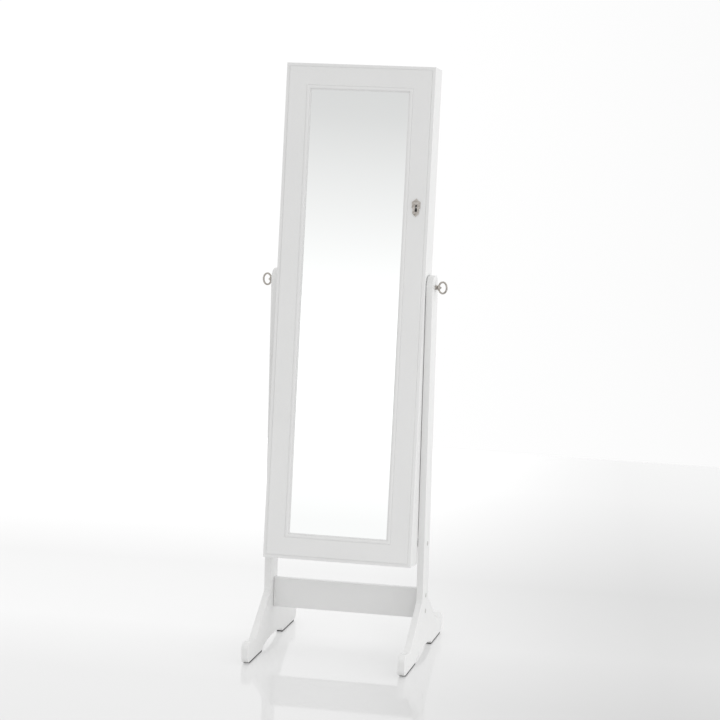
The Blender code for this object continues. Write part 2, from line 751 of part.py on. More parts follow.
def knuckle_spans(body):
    """Height ranges of a leaf's knuckles: two outer ones on the cabinet, the middle one on the door."""
    half = LEAF_HEIGHT / 2
    third = half / 3
    if body == "door":
        return [(-third + GAP / 2, third - GAP / 2)]
    return [(-half, -third - GAP / 2), (third + GAP / 2, half)]


def leaf_screw_offsets():
    return [(0.0072, 0.0135), (0.0072, -0.0135)]


def make_leaf(body):
    """One butt-hinge leaf with its knuckles, bored for the pin and countersunk for two screws."""
    (x0, y0), (x1, y1) = leaf_box(body)
    half = LEAF_HEIGHT / 2
    plate = block("leaf_plate_" + body, (x0, y0, -half), (x1, y1, half))
    pieces = []
    for index, (low, high) in enumerate(knuckle_spans(body)):
        knuckle = turned(f"knuckle_{body}_{index}", cylinder_profile(KNUCKLE_RADIUS, low, high), 16)
        tongue = block(f"tongue_{body}_{index}", (0.0008, y0, low), (x0 + 0.001, y1, high))
        pieces += [knuckle, tongue]
    leaf = union("leaf_" + body, plate, *pieces)
    bore = cylinder_profile(HINGE_PIN_RADIUS + GAP, -half - OVERCUT, half + OVERCUT)
    pin_hole = turned("pin_hole_" + body, bore, 12)
    subtract(leaf, make_cutter(pin_hole, "stand"))
    for index, (across, up) in enumerate(leaf_screw_offsets()):
        outer = y1 if body == "door" else y0
        turn = -pi / 2 if body == "door" else pi / 2
        profile = [
            (0.0, 0.0010),
            (0.0036, 0.0010),
            (LEAF_HOLE_RADIUS, -0.0009),
            (LEAF_HOLE_RADIUS, -0.0030),
            (0.0, -0.0030),
        ]
        hole = turned(f"leaf_hole_{body}_{index}", profile, 12, (across, outer, up), (turn, 0.0, 0.0))
        subtract(leaf, make_cutter(hole, "stand"))
    return leaf


def cut_hinge_seats(board, body):
    """Mortises for the leaf, the knuckles and the screws in a board's corner at every hinge."""
    (x0, y0), (x1, y1) = leaf_box(body)
    half = LEAF_HEIGHT / 2 + GAP
    inward = -GAP if body == "door" else -0.0030
    outward = 0.0030 if body == "door" else GAP
    for index, height in enumerate(HINGE_HEIGHTS):
        place = Vector((HINGE_X, HINGE_Y, height))
        low = place + Vector((x0 - 0.003, y0 + inward, -half))
        high = place + Vector((x1 + GAP, y1 + outward, half))
        subtract(board, make_cutter(block(f"leaf_seat_{body}_{index}", low, high), body))
        seat_radius = KNUCKLE_RADIUS + 0.0005
        seat_profile = cylinder_profile(seat_radius, -half - 0.0010, half + 0.0020)
        seat = turned(f"knuckle_seat_{body}_{index}", seat_profile, 16, place)
        subtract(board, make_cutter(seat, body))
        for number, (across, up) in enumerate(leaf_screw_offsets()):
            name = f"pilot_{body}_{index}_{number}"
            turn = -pi / 2 if body == "door" else pi / 2
            where = place + Vector((across, 0.0, up))
            profile = cylinder_profile(LEAF_HOLE_RADIUS, -PILOT_DEPTH, 0.0)
            pilot = turned(name, profile, 12, where, (turn, 0.0, 0.0))
            subtract(board, make_cutter(pilot, body))


def hinge_pin_profile():
    half = LEAF_HEIGHT / 2
    return [
        (0.0, half + 0.0016),
        (0.0014, half + 0.0013),
        (0.0019, half + 0.0005),
        (0.0019, half + 0.0003),
        (HINGE_PIN_RADIUS, half + 0.0003),
        (HINGE_PIN_RADIUS, -half - 0.0006),
        (0.0, -half - 0.0006),
    ]


def make_hinges():
    leaf_meshes = {body: baked(make_leaf(body)) for body in ("cabinet", "door")}
    for number, height in enumerate(HINGE_HEIGHTS, start=1):
        place = (HINGE_X, HINGE_Y, height)
        for body, mesh in leaf_meshes.items():
            leaf = shared_copy(f"hinge_leaf_{body}_{number}", mesh, place)
            finish_piece(leaf, "antique_nickel", body)
        pin = turned(f"hinge_pin_{number}", hinge_pin_profile(), 12, place)
        finish_piece(pin, "antique_nickel", "cabinet")


# ---------------------------------------------------------------- door

def frame_profile():
    """Section of the door frame as (distance from the door's edge, y).

    From the rear outer corner: a sloping strip and a step round the outside, the flat face, then a quirk,
    a half-round bead and a slope down to the glass, with a rebate for the glass behind them.
    """
    face_to_bead = FRAME_FACE + 0.0009
    bead_middle = face_to_bead + BEAD_HALF_WIDTH
    bead_rise = BEAD_CREST_Y - BEAD_SPRING_Y
    angles = arc_angles(180, 20, 6)
    bead = [(bead_middle + BEAD_HALF_WIDTH * cos(a), BEAD_SPRING_Y + bead_rise * sin(a)) for a in angles]
    return [
        (0.0, DOOR_BACK),
        (0.0, DOOR_FRONT + 0.0030),
        (0.0004, DOOR_FRONT + 0.0023),
        (0.0012, DOOR_FRONT + 0.0019),
        (EDGE_STRIP - 0.0009, DOOR_FRONT + 0.0010),
        (EDGE_STRIP, DOOR_FRONT + 0.0001),
        (EDGE_STRIP + 0.0006, DOOR_FRONT),
        (FRAME_FACE - 0.0004, DOOR_FRONT),
        (FRAME_FACE, DOOR_FRONT + 0.0011),
        (face_to_bead, DOOR_FRONT + 0.0011),
        *bead,
        (BEAD_INNER - 0.0006, BEAD_BACK - 0.0017),
        (BEAD_INNER, BEAD_BACK - 0.0010),
        (BEAD_INNER, BEAD_BACK),
        (FRAME_FACE, BEAD_BACK),
        (FRAME_FACE, DOOR_BACK),
    ]


def mitred_member(name, profile, half_offset, half_length, quarter_turns):
    """A moulding along one side of the door, mitred at both ends; quarter turns choose the side."""
    shape = bmesh.new()
    section = []
    for inset, y in profile:
        reach = half_length - inset - GAP / 2
        section.append(shape.verts.new((inset - half_offset, y, -reach)))
    end = shape.faces.new(section)
    extruded = bmesh.ops.extrude_face_region(shape, geom=[end], use_keep_orig=True)
    for item in extruded["geom"]:
        if isinstance(item, bmesh.types.BMVert):
            item.co.z = -item.co.z
    bmesh.ops.recalc_face_normals(shape, faces=shape.faces)
    turn = Matrix.Rotation(quarter_turns * pi / 2, 4, "Y")
    bmesh.ops.rotate(shape, matrix=turn, verts=shape.verts)
    return mesh_object(name, shape, (0.0, 0.0, MIDDLE_Z))


def door_sides():
    """Each side's name, its distance from the door's middle, half its length, and its quarter turns."""
    half_height = CABINET_HEIGHT / 2
    return [
        ("left", DOOR_HALF_WIDTH, half_height, 0),
        ("top", half_height, DOOR_HALF_WIDTH, 1),
        ("right", DOOR_HALF_WIDTH, half_height, 2),
        ("bottom", half_height, DOOR_HALF_WIDTH, 3),
    ]


def keyhole_cutter(name, low, high, body):
    """Keyhole through the thickness between two y values: a round eye over a straight slot."""
    half_depth = (high - low) / 2
    eye_place = (LOCK_X, low + half_depth, LOCK_Z + KEYHOLE_EYE_UP)
    profile = cylinder_profile(KEYHOLE_EYE_RADIUS, -half_depth, half_depth)
    eye = turned(name + "_eye", profile, 16, eye_place, (pi / 2, 0.0, 0.0))
    bottom = (LOCK_X - KEYHOLE_SLOT_HALF_WIDTH, low, LOCK_Z + KEYHOLE_SLOT_BOTTOM)
    top = (LOCK_X + KEYHOLE_SLOT_HALF_WIDTH, high, LOCK_Z + KEYHOLE_EYE_UP - 0.0010)
    slot = block(name + "_slot", bottom, top)
    return [make_cutter(eye, body), make_cutter(slot, body)]


def make_door_frame():
    for side, half_offset, half_length, turns in door_sides():
        kind = "door_stile_" if side in ("left", "right") else "door_rail_"
        member = mitred_member(kind + side, frame_profile(), half_offset, half_length, turns)
        if side == "left":
            cut_hinge_seats(member, "door")
        if side == "right":
            for cutter in keyhole_cutter("stile_keyhole", DOOR_FRONT - OVERCUT, DOOR_BACK + OVERCUT, "door"):
                subtract(member, cutter)
        finish_piece(member, "white_paint", "door")


def make_mirror():
    half_x = DOOR_HALF_WIDTH - FRAME_FACE - GAP
    half_z = CABINET_HEIGHT / 2 - FRAME_FACE - GAP
    glass_front = BEAD_BACK + GAP
    low = (-half_x, glass_front, MIDDLE_Z - half_z)
    high = (half_x, glass_front + GLASS_THICKNESS, MIDDLE_Z + half_z)
    finish_piece(block("mirror_glass", low, high), "mirror_silver", "door")
    backing_front = glass_front + GLASS_THICKNESS + GAP
    low = (-half_x, backing_front, MIDDLE_Z - half_z)
    high = (half_x, backing_front + BACKING_THICKNESS, MIDDLE_Z + half_z)
    finish_piece(block("mirror_backing", low, high), "hardboard", "door")


# ---------------------------------------------------------------- lock

def escutcheon_outline():
    """Key plate outline about its centre: pointed ends, wide shoulders above, narrower body below."""
    right = [
        (0.0, 0.0225),
        (0.0030, 0.0196),
        (0.0066, 0.0166),
        (0.0104, 0.0142),
        (0.0108, 0.0122),
        (0.0104, 0.0090),
        (0.0103, 0.0040),
        (0.0108, 0.0008),
        (0.0102, -0.0014),
        (0.0082, -0.0030),
        (0.0080, -0.0050),
        (0.0084, -0.0090),
        (0.0080, -0.0136),
        (0.0058, -0.0170),
        (0.0028, -0.0196),
        (0.0, -0.0228),
    ]
    left = [(-x, z) for x, z in reversed(right[1:-1])]
    return right + left


def make_escutcheon():
    front = DOOR_FRONT - GAP - ESCUTCHEON_THICKNESS
    place = (LOCK_X, front + ESCUTCHEON_THICKNESS / 2, LOCK_Z)
    plate = flat_board("escutcheon", escutcheon_outline(), ESCUTCHEON_THICKNESS, place, (pi / 2, 0.0, 0.0))
    for cutter in keyhole_cutter("plate_keyhole", front - OVERCUT, DOOR_FRONT - GAP / 2, "door"):
        subtract(plate, cutter)
    finish_piece(plate, "antique_nickel", "door")


def make_lock():
    """Rim lock on the door's back, its bolt, and the strike plate that the bolt shoots through."""
    half_x, half_z = LOCK_CASE_HALF
    low = (LOCK_CASE_CENTRE_X - half_x, DOOR_BACK + GAP, LOCK_Z - half_z)
    high = (LOCK_CASE_CENTRE_X + half_x, DOOR_BACK + LOCK_CASE_THICKNESS, LOCK_Z + half_z)
    case = block("lock_case", low, high, 0.0008)
    bolt_y = DOOR_BACK + LOCK_CASE_THICKNESS / 2
    half_y = LOCK_BOLT_THICKNESS / 2
    half_height = LOCK_BOLT_HEIGHT / 2
    bolt_tip = LOCK_CASE_CENTRE_X + half_x + LOCK_BOLT_REACH
    bolt_tail = bolt_tip - LOCK_BOLT_LENGTH
    low = (bolt_tail - GAP, bolt_y - half_y - GAP, LOCK_Z - half_height - GAP)
    high = (bolt_tip + OVERCUT, bolt_y + half_y + GAP, LOCK_Z + half_height + GAP)
    subtract(case, make_cutter(block("bolt_channel", low, high), "door"))
    for cutter in keyhole_cutter("case_keyhole", DOOR_BACK - OVERCUT, DOOR_BACK + 0.0025, "door"):
        subtract(case, cutter)
    finish_piece(case, "bright_steel", "door")

    low = (bolt_tail, bolt_y - half_y, LOCK_Z - half_height)
    high = (bolt_tip, bolt_y + half_y, LOCK_Z + half_height)
    finish_piece(block("lock_bolt", low, high, 0.0006), "brass", "lock_bolt")

    strike_outer = INNER_HALF_WIDTH - GAP
    low = (strike_outer - 0.001, DOOR_BACK + 0.0015, LOCK_Z - STRIKE_HALF_HEIGHT)
    high = (strike_outer, DOOR_BACK + 0.0145, LOCK_Z + STRIKE_HALF_HEIGHT)
    strike = block("strike_plate", low, high)
    low = (strike_outer - 0.003, bolt_y - half_y - 0.0006, LOCK_Z - half_height - 0.0008)
    high = (strike_outer + OVERCUT, bolt_y + half_y + 0.0006, LOCK_Z + half_height + 0.0008)
    subtract(strike, make_cutter(block("strike_slot", low, high), "cabinet"))
    finish_piece(strike, "bright_steel", "cabinet")


# ---------------------------------------------------------------- build

def build():
    make_bodies()
    for side in (-1, 1):
        make_side_frame(side)
        make_screws(side)
        make_tilt_stop(side)
        make_foot_glides(side)
        make_pivot_hardware(side)
        make_ring_bolt(side)
    make_cross_rail()
    make_carcass()
    make_shelves()
    make_ring_cushion()
    make_necklace_rail()
    make_earring_rack()
    make_catch()
    make_hinges()
    make_door_frame()
    make_mirror()
    make_escutcheon()
    make_lock()


build()
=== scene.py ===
"""Looks of the cheval mirror cabinet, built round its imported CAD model.

World frame: X to the viewer's right, the mirror faces -Y, Z up, metres. The cabinet frame has the same axes
with its origin on the pivot, and leans back with the cabinet.
"""

import json
from math import atan2, cos, pi, radians, sin

import bmesh
import bpy
from mathutils import Matrix, Vector, noise


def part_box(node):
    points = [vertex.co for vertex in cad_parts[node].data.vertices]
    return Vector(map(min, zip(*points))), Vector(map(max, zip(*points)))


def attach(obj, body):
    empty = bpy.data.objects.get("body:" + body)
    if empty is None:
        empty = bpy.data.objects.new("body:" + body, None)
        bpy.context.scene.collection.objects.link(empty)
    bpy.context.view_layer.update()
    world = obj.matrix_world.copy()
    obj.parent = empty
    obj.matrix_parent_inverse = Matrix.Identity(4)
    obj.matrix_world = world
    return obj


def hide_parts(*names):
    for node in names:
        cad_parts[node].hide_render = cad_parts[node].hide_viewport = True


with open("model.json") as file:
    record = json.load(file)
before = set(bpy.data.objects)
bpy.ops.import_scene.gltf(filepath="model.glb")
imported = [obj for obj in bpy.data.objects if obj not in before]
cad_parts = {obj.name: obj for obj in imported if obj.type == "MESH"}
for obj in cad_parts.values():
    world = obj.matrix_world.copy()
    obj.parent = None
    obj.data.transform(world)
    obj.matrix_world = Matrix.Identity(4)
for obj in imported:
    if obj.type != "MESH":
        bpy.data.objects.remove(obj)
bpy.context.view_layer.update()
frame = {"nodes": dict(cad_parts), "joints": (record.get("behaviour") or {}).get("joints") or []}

NODES = frame["nodes"]
JOINTS = {joint["name"]: joint for joint in frame["joints"]}
PIVOT = Vector(JOINTS["cabinet_tilt"]["pos_m"])
HINGE_AXIS = Vector(JOINTS["door_hinge"]["axis"])
LEAN = atan2(-HINGE_AXIS.y, -HINGE_AXIS.z)
WORLD = Matrix.Identity(4)
CABINET = Matrix.Translation(PIVOT) @ Matrix.Rotation(-LEAN, 4, "X")
SIDES = ((-1, "left"), (1, "right"))


def box_of(node, place=CABINET):
    """Lowest and highest corner of a CAD node at rest, in the frame that place puts in the world."""
    inverse = place.inverted()
    points = [inverse @ vertex.co for vertex in NODES[node].data.vertices]
    low = Vector([min(point[axis] for point in points) for axis in range(3)])
    high = Vector([max(point[axis] for point in points) for axis in range(3)])
    return low, high


# ---------------------------------------------------------------- materials

def link(tree, source, target):
    tree.links.new(source, target)


def add_node(tree, kind, **settings):
    """A shader node; settings name its properties, or its input sockets by their label."""
    node = tree.nodes.new(kind)
    for name, value in settings.items():
        if hasattr(node, name):
            setattr(node, name, value)
        else:
            node.inputs[name.replace("_", " ")].default_value = value
    return node


def new_material(name, colour, roughness, metallic=0.0, **sockets):
    """A Principled material; sockets are set by their label with _ for each space."""
    material = bpy.data.materials.new(name)
    material.use_nodes = True
    shader = material.node_tree.nodes["Principled BSDF"]
    shader.inputs["Base Color"].default_value = (*colour, 1.0)
    shader.inputs["Roughness"].default_value = roughness
    shader.inputs["Metallic"].default_value = metallic
    for label, value in sockets.items():
        shader.inputs[label.replace("_", " ")].default_value = value
    return material


def noise_of(tree, scale, detail=4.0, stretch=(1.0, 1.0, 1.0)):
    """Noise over the object's own coordinates, in features per metre, stretched along an axis if wanted."""
    coordinates = add_node(tree, "ShaderNodeTexCoord")
    mapping = add_node(tree, "ShaderNodeMapping")
    mapping.inputs["Scale"].default_value = stretch
    texture = add_node(tree, "ShaderNodeTexNoise", Scale=scale, Detail=detail, Roughness=0.55)
    link(tree, coordinates.outputs["Object"], mapping.inputs["Vector"])
    link(tree, mapping.outputs["Vector"], texture.inputs["Vector"])
    return texture.outputs["Fac"]


def ramp_of(tree, value, stops):
    """A colour ramp through (position, colour) stops, driven by value."""
    ramp = add_node(tree, "ShaderNodeValToRGB")
    elements = ramp.color_ramp.elements
    while len(elements) < len(stops):
        elements.new(1.0)
    for element, (position, colour) in zip(elements, stops):
        element.position = position
        element.color = (*colour, 1.0)
    link(tree, value, ramp.inputs["Fac"])
    return ramp.outputs["Color"]


def vary_colour(material, scale, stops, detail=4.0, stretch=(1.0, 1.0, 1.0)):
    tree = material.node_tree
    colour = ramp_of(tree, noise_of(tree, scale, detail, stretch), stops)
    link(tree, colour, tree.nodes["Principled BSDF"].inputs["Base Color"])
    return colour


def vary_roughness(material, scale, low, high, detail=3.0, stretch=(1.0, 1.0, 1.0)):
    tree = material.node_tree
    spread = add_node(tree, "ShaderNodeMapRange")
    spread.inputs["From Min"].default_value = 0.3
    spread.inputs["From Max"].default_value = 0.7
    spread.inputs["To Min"].default_value = low
    spread.inputs["To Max"].default_value = high
    link(tree, noise_of(tree, scale, detail, stretch), spread.inputs["Value"])
    link(tree, spread.outputs["Result"], tree.nodes["Principled BSDF"].inputs["Roughness"])


def add_bump(material, height, distance, strength=1.0):
    """Adds a height, in metres of relief, on top of any bump that the material has."""
    tree = material.node_tree
    shader = tree.nodes["Principled BSDF"]
    bump = add_node(tree, "ShaderNodeBump", Strength=strength, Distance=distance)
    link(tree, height, bump.inputs["Height"])
    if shader.inputs["Normal"].is_linked:
        link(tree, shader.inputs["Normal"].links[0].from_socket, bump.inputs["Normal"])
    link(tree, bump.outputs["Normal"], shader.inputs["Normal"])


def satin_paint():
    """White lacquer sprayed on board: a trace of orange peel, and a sheen that drifts a little."""
    material = new_material("satin_white_lacquer", (0.765, 0.765, 0.76), 0.38)
    vary_colour(material, 7.0, [(0.30, (0.757, 0.757, 0.753)), (0.70, (0.773, 0.773, 0.768))])
    vary_roughness(material, 30.0, 0.33, 0.43)
    add_bump(material, noise_of(material.node_tree, 420.0, 2.0), 0.00002)
    add_bump(material, noise_of(material.node_tree, 60.0, 2.0), 0.00004)
    return material


def silvered_glass():
    """The silver seen through clear glass, under the glass's own thin reflection."""
    return new_material("silvered_glass", (0.945, 0.955, 0.950), 0.0, 1.0)


def hardboard():
    """Pressed fibre board: brown fibres lying every way, with a fine woven screen print."""
    material = new_material("pressed_hardboard", (0.30, 0.19, 0.11), 0.75)
    stops = [(0.25, (0.17, 0.100, 0.055)), (0.50, (0.27, 0.170, 0.100)), (0.78, (0.38, 0.255, 0.155))]
    vary_colour(material, 260.0, stops, 8.0, (1.0, 1.0, 0.35))
    vary_roughness(material, 90.0, 0.66, 0.84)
    add_bump(material, noise_of(material.node_tree, 700.0, 6.0, (1.0, 1.0, 0.4)), 0.00012)
    return material


def antique_nickel():
    """Aged nickel plating: pale where it is handled, darker and duller in blotches."""
    material = new_material("antique_nickel_plate", (0.55, 0.53, 0.49), 0.34, 1.0)
    stops = [(0.28, (0.27, 0.245, 0.215)), (0.46, (0.47, 0.440, 0.405)), (0.72, (0.66, 0.630, 0.600))]
    vary_colour(material, 240.0, stops, 6.0)
    vary_roughness(material, 160.0, 0.26, 0.46)
    add_bump(material, noise_of(material.node_tree, 900.0, 3.0), 0.00003)
    return material


def bright_steel():
    """Zinc-plated pressed steel with fine rolling lines."""
    material = new_material("zinc_plated_steel", (0.62, 0.62, 0.61), 0.32, 1.0)
    stops = [(0.30, (0.50, 0.51, 0.52)), (0.70, (0.70, 0.70, 0.68))]
    vary_colour(material, 140.0, stops, 4.0, (1.0, 1.0, 5.0))
    vary_roughness(material, 380.0, 0.24, 0.42, 4.0, (1.0, 1.0, 6.0))
    add_bump(material, noise_of(material.node_tree, 1600.0, 3.0, (0.2, 0.2, 2.0)), 0.00001)
    return material


def brass():
    material = new_material("turned_brass", (0.72, 0.53, 0.26), 0.30, 1.0)
    stops = [(0.30, (0.60, 0.42, 0.19)), (0.70, (0.80, 0.62, 0.32))]
    vary_colour(material, 120.0, stops)
    vary_roughness(material, 300.0, 0.22, 0.40)
    return material


def black_rubber():
    material = new_material("black_rubber_pad", (0.025, 0.025, 0.026), 0.78)
    vary_colour(material, 90.0, [(0.30, (0.018, 0.018, 0.019)), (0.75, (0.045, 0.044, 0.043))])
    add_bump(material, noise_of(material.node_tree, 900.0, 4.0), 0.00008)
    return material


def moulded_plastic(name, colour, roughness):
    """Moulded plastic: even colour, with the fine spark-eroded grain of its mould."""
    material = new_material(name, colour, roughness)
    darker = tuple(0.96 * channel for channel in colour)
    vary_colour(material, 25.0, [(0.30, darker), (0.70, colour)])
    vary_roughness(material, 80.0, roughness - 0.05, roughness + 0.06)
    add_bump(material, noise_of(material.node_tree, 1500.0, 2.0), 0.00001)
    return material


def black_velvet():
    """Short-pile velvet: nearly black head on, greyer at the edge, with brushed patches and a fine pile."""
    sheen = {"Sheen_Weight": 0.55, "Sheen_Roughness": 0.35}
    material = new_material("black_velvet_pile", (0.012, 0.011, 0.013), 0.95, **sheen)
    material.node_tree.nodes["Principled BSDF"].inputs["Sheen Tint"].default_value = (0.42, 0.41, 0.45, 1.0)
    vary_colour(material, 22.0, [(0.32, (0.008, 0.0075, 0.009)), (0.68, (0.022, 0.021, 0.024))], 6.0)
    add_bump(material, noise_of(material.node_tree, 2400.0, 3.0), 0.00020)
    add_bump(material, noise_of(material.node_tree, 45.0, 3.0), 0.00035)
    return material


LOOKS = {
    "white_paint": satin_paint(),
    "mirror_silver": silvered_glass(),
    "hardboard": hardboard(),
    "antique_nickel": antique_nickel(),
    "bright_steel": bright_steel(),
    "brass": brass(),
    "black_rubber": black_rubber(),
    "white_plastic": moulded_plastic("white_cap_plastic", (0.82, 0.82, 0.81), 0.40),
    "nylon": moulded_plastic("natural_nylon", (0.70, 0.69, 0.64), 0.48),
    "black_velvet": black_velvet(),
}
# painted shade: a near-black finish for sheets set behind the keyhole, so that it reads as a dark hole
KEYHOLE_SHADE_LOOK = moulded_plastic("painted_keyhole_shade", (0.006, 0.006, 0.006), 0.60)
# the screw caps are coloured a darker grey than the white plastic of their slot
DARKENED_CAP_LOOK = moulded_plastic("darkened_cap_plastic", (0.52, 0.52, 0.50), 0.45)


# ---------------------------------------------------------------- mesh helpers

def to_mesh(name, shape):
    mesh = bpy.data.meshes.new(name)
    shape.to_mesh(mesh)
    shape.free()
    return mesh


def smooth_by_angle(mesh, angle):
    mesh.shade_smooth()
    mesh.set_sharp_from_angle(angle=radians(angle))


def weigh_normals(piece):
    """Keeps flat faces flat in the shading and turns only the rounded edges beside them."""
    weights = piece.modifiers.new("weighted_normals", "WEIGHTED_NORMAL")
    weights.keep_sharp = True


def bevel(piece, width, segments=3, angle=40.0):
    rounding = piece.modifiers.new("rounded_edges", "BEVEL")
    rounding.width = width
    rounding.segments = segments
    rounding.limit_method = "ANGLE"
    rounding.angle_limit = radians(angle)


def applied(mesh, prepare):
    """The mesh with the modifiers that prepare adds to an object of it."""
    holder = bpy.data.objects.new("holder", mesh)
    bpy.context.scene.collection.objects.link(holder)
    helpers = prepare(holder) or []
    bpy.context.view_layer.update()
    evaluated = holder.evaluated_get(bpy.context.evaluated_depsgraph_get())
    result = bpy.data.meshes.new_from_object(evaluated)
    for done in [holder, *helpers]:
        bpy.data.objects.remove(done, do_unlink=True)
    return result


def combined(mesh, others, operation="DIFFERENCE"):
    """The mesh with the others cut from it, or joined to it by UNION."""
    def prepare(holder):
        helpers = []
        for other in others:
            helper = bpy.data.objects.new("helper", other)
            bpy.context.scene.collection.objects.link(helper)
            boolean = holder.modifiers.new("combine", "BOOLEAN")
            boolean.operation = operation
            boolean.object = helper
            helpers.append(helper)
        return helpers
    return applied(mesh, prepare)


def rounded(mesh, width, segments=3, angle=40.0):
    return applied(mesh, lambda holder: bevel(holder, width, segments, angle))


def add_piece(name, mesh, body, slot, place=CABINET, replaces=(), angle=35.0, look=None):
    """A piece of the object in its place, on its body and in its slot's finish, or in a look of its own."""
    mesh.materials.clear()
    mesh.materials.append(look or LOOKS[slot])
    smooth_by_angle(mesh, angle)
    piece = bpy.data.objects.new(name, mesh)
    bpy.context.scene.collection.objects.link(piece)
    piece.matrix_world = place
    weigh_normals(piece)
    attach(piece, body)
    if replaces:
        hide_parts(*replaces)
    return piece


def box_mesh(low, high, rounding=0.0, segments=3):
    shape = bmesh.new()
    bmesh.ops.create_cube(shape, size=1.0)
    size = [b - a for a, b in zip(low, high)]
    bmesh.ops.scale(shape, vec=size, verts=shape.verts)
    centre = [(a + b) / 2 for a, b in zip(low, high)]
    bmesh.ops.translate(shape, vec=centre, verts=shape.verts)
    mesh = to_mesh("box", shape)
    return rounded(mesh, rounding, segments) if rounding else mesh


def lathe(profile, steps=48, place=WORLD):
    """A turned solid: (radius, height) points from the top axis point down its outer side, round Z."""
    shape = bmesh.new()
    points = [shape.verts.new((radius, 0.0, height)) for radius, height in profile]
    pairs = list(zip(points, points[1:]))
    if profile[0][0] > 0.0:
        pairs.append((points[-1], points[0]))
    edges = [shape.edges.new(pair) for pair in pairs]
    bmesh.ops.spin(
        shape,
        geom=points + edges,
        cent=(0, 0, 0),
        axis=(0, 0, 1),
        angle=2 * pi,
        steps=steps,
        use_merge=True,
    )
    bmesh.ops.remove_doubles(shape, verts=shape.verts, dist=1e-7)
    bmesh.ops.recalc_face_normals(shape, faces=shape.faces)
    bmesh.ops.transform(shape, matrix=place, verts=shape.verts)
    return to_mesh("turned", shape)


def extruded(outline, thickness, place=WORLD):
    """A flat solid of an outline in XY, from z 0 up to its thickness."""
    shape = bmesh.new()
    base = shape.faces.new([shape.verts.new((x, y, 0.0)) for x, y in outline])
    grown = bmesh.ops.extrude_face_region(shape, geom=[base], use_keep_orig=True)
    top = [item for item in grown["geom"] if isinstance(item, bmesh.types.BMVert)]
    bmesh.ops.translate(shape, vec=(0.0, 0.0, thickness), verts=top)
    bmesh.ops.recalc_face_normals(shape, faces=shape.faces)
    bmesh.ops.transform(shape, matrix=place, verts=shape.verts)
    return to_mesh("board", shape)


def tube(points, radius, sides=16, closed=False):
    """A round wire along points, with rounded ends where it is open."""
    shape = bmesh.new()
    count = len(points)
    path = [Vector(point) for point in points]
    rings = []
    for index, point in enumerate(path):
        before = path[index - 1] if closed or index else path[0]
        after = path[(index + 1) % count] if closed or index < count - 1 else path[-1]
        along = (after - before).normalized()
        start = across - along * across.dot(along) if rings else along.orthogonal()
        across = start.normalized()
        other = along.cross(across)
        ring = [2 * pi * step / sides for step in range(sides)]
        rings.append([shape.verts.new(point + radius * (across * cos(a) + other * sin(a))) for a in ring])
    spans = list(zip(rings, rings[1:]))
    if closed:
        spans.append((rings[-1], rings[0]))
    for first, second in spans:
        for step in range(sides):
            ahead = (step + 1) % sides
            shape.faces.new((first[step], first[ahead], second[ahead], second[step]))
    if not closed:
        for ring, outward in ((rings[0], path[0] - path[1]), (rings[-1], path[-1] - path[-2])):
            middle = sum((vertex.co for vertex in ring), Vector()) / sides
            tip_point = middle + outward.normalized() * radius * 0.5
            tip = shape.verts.new(tip_point)
            for step in range(sides):
                shape.faces.new((ring[step], ring[(step + 1) % sides], tip))
    bmesh.ops.recalc_face_normals(shape, faces=shape.faces)
    return to_mesh("wire", shape)


def arc(centre, radii, start, end, steps):
    """Points on an elliptic arc, angles in degrees, both ends included."""
    angles = [radians(start + (end - start) * step / steps) for step in range(steps + 1)]
    return [(centre[0] + radii[0] * cos(a), centre[1] + radii[1] * sin(a)) for a in angles]


def fillet(before, corner, after, radius, steps):
    """Points that round the corner between two straight runs."""
    middle = Vector(corner)
    back = (Vector(before) - middle).normalized()
    ahead = (Vector(after) - middle).normalized()
    half_angle = back.angle(ahead) / 2
    reach = radius * cos(half_angle) / sin(half_angle)
    centre = middle + (back + ahead).normalized() * (radius / sin(half_angle))
    first = middle + back * reach - centre
    last = middle + ahead * reach - centre
    start = atan2(first.y, first.x)
    turn = (atan2(last.y, last.x) - start + pi) % (2 * pi) - pi
    angles = [start + turn * step / steps for step in range(steps + 1)]
    return [(centre.x + radius * cos(a), centre.y + radius * sin(a)) for a in angles]


def curve_through(points, steps):
    """A smooth open curve through points, with that many steps between each two."""
    path = [Vector(point) for point in points]
    ends = [2 * path[0] - path[1], *path, 2 * path[-1] - path[-2]]
    smooth = []
    for index in range(len(path) - 1):
        a, b, c, d = ends[index:index + 4]
        for step in range(steps):
            t = step / steps
            square, cube = t * t, t * t * t
            smooth.append(0.5 * ((2 * b) + (c - a) * t + (2 * a - 5 * b + 4 * c - d) * square
                                 + (3 * b - 3 * c + d - a) * cube))
    return smooth + [path[-1]]


def facing(origin, direction):
    """Turns +Z to point along direction, from origin."""
    return Matrix.Translation(origin) @ Vector(direction).to_track_quat("Z", "Y").to_matrix().to_4x4()


# ---------------------------------------------------------------- CAD nodes that stay

def dress_nodes():
    """Every CAD node takes its finish, and its rounded edges and turned faces are shaded smooth."""
    for node in NODES.values():
        slot = node.material_slots[0].material.name
        node.material_slots[0].material = LOOKS[slot]
        mesh = node.data
        mesh.attributes.remove(mesh.attributes["custom_normal"])
        mesh.shade_smooth()
        weld = node.modifiers.new("weld", "WELD")
        weld.merge_threshold = 0.000002
        split = node.modifiers.new("sharp_edges", "EDGE_SPLIT")
        split.split_angle = radians(35.0)
        weigh_normals(node)


# ---------------------------------------------------------------- stand

POST_HALF_DEPTH = 0.0345
POST_CORNER_RADIUS = 0.0265
KINK_HEIGHT = 0.140
KINK_RADIUS = 0.016
SLOPE_END = (0.176, 0.0465)
SLOPE_END_RADIUS = 0.006
TOE_TIP = 0.244
TOE_CREST = 0.054
TOE_TOP_RADIUS = 0.0165
TOE_BOTTOM_RADIUS = 0.0155
ARCH_HALF_LENGTH = 0.099
ARCH_RISER = 0.005
ARCH_HEIGHT = 0.017
FRAME_ROUNDING = 0.0012
COUNTERBORE_RADIUS = 0.0050
COUNTERBORE_DEPTH = 0.0055
SCREW_HOLE_RADIUS = 0.0037
PIVOT_HOLE_RADIUS = 0.0033
OVERCUT = 0.002


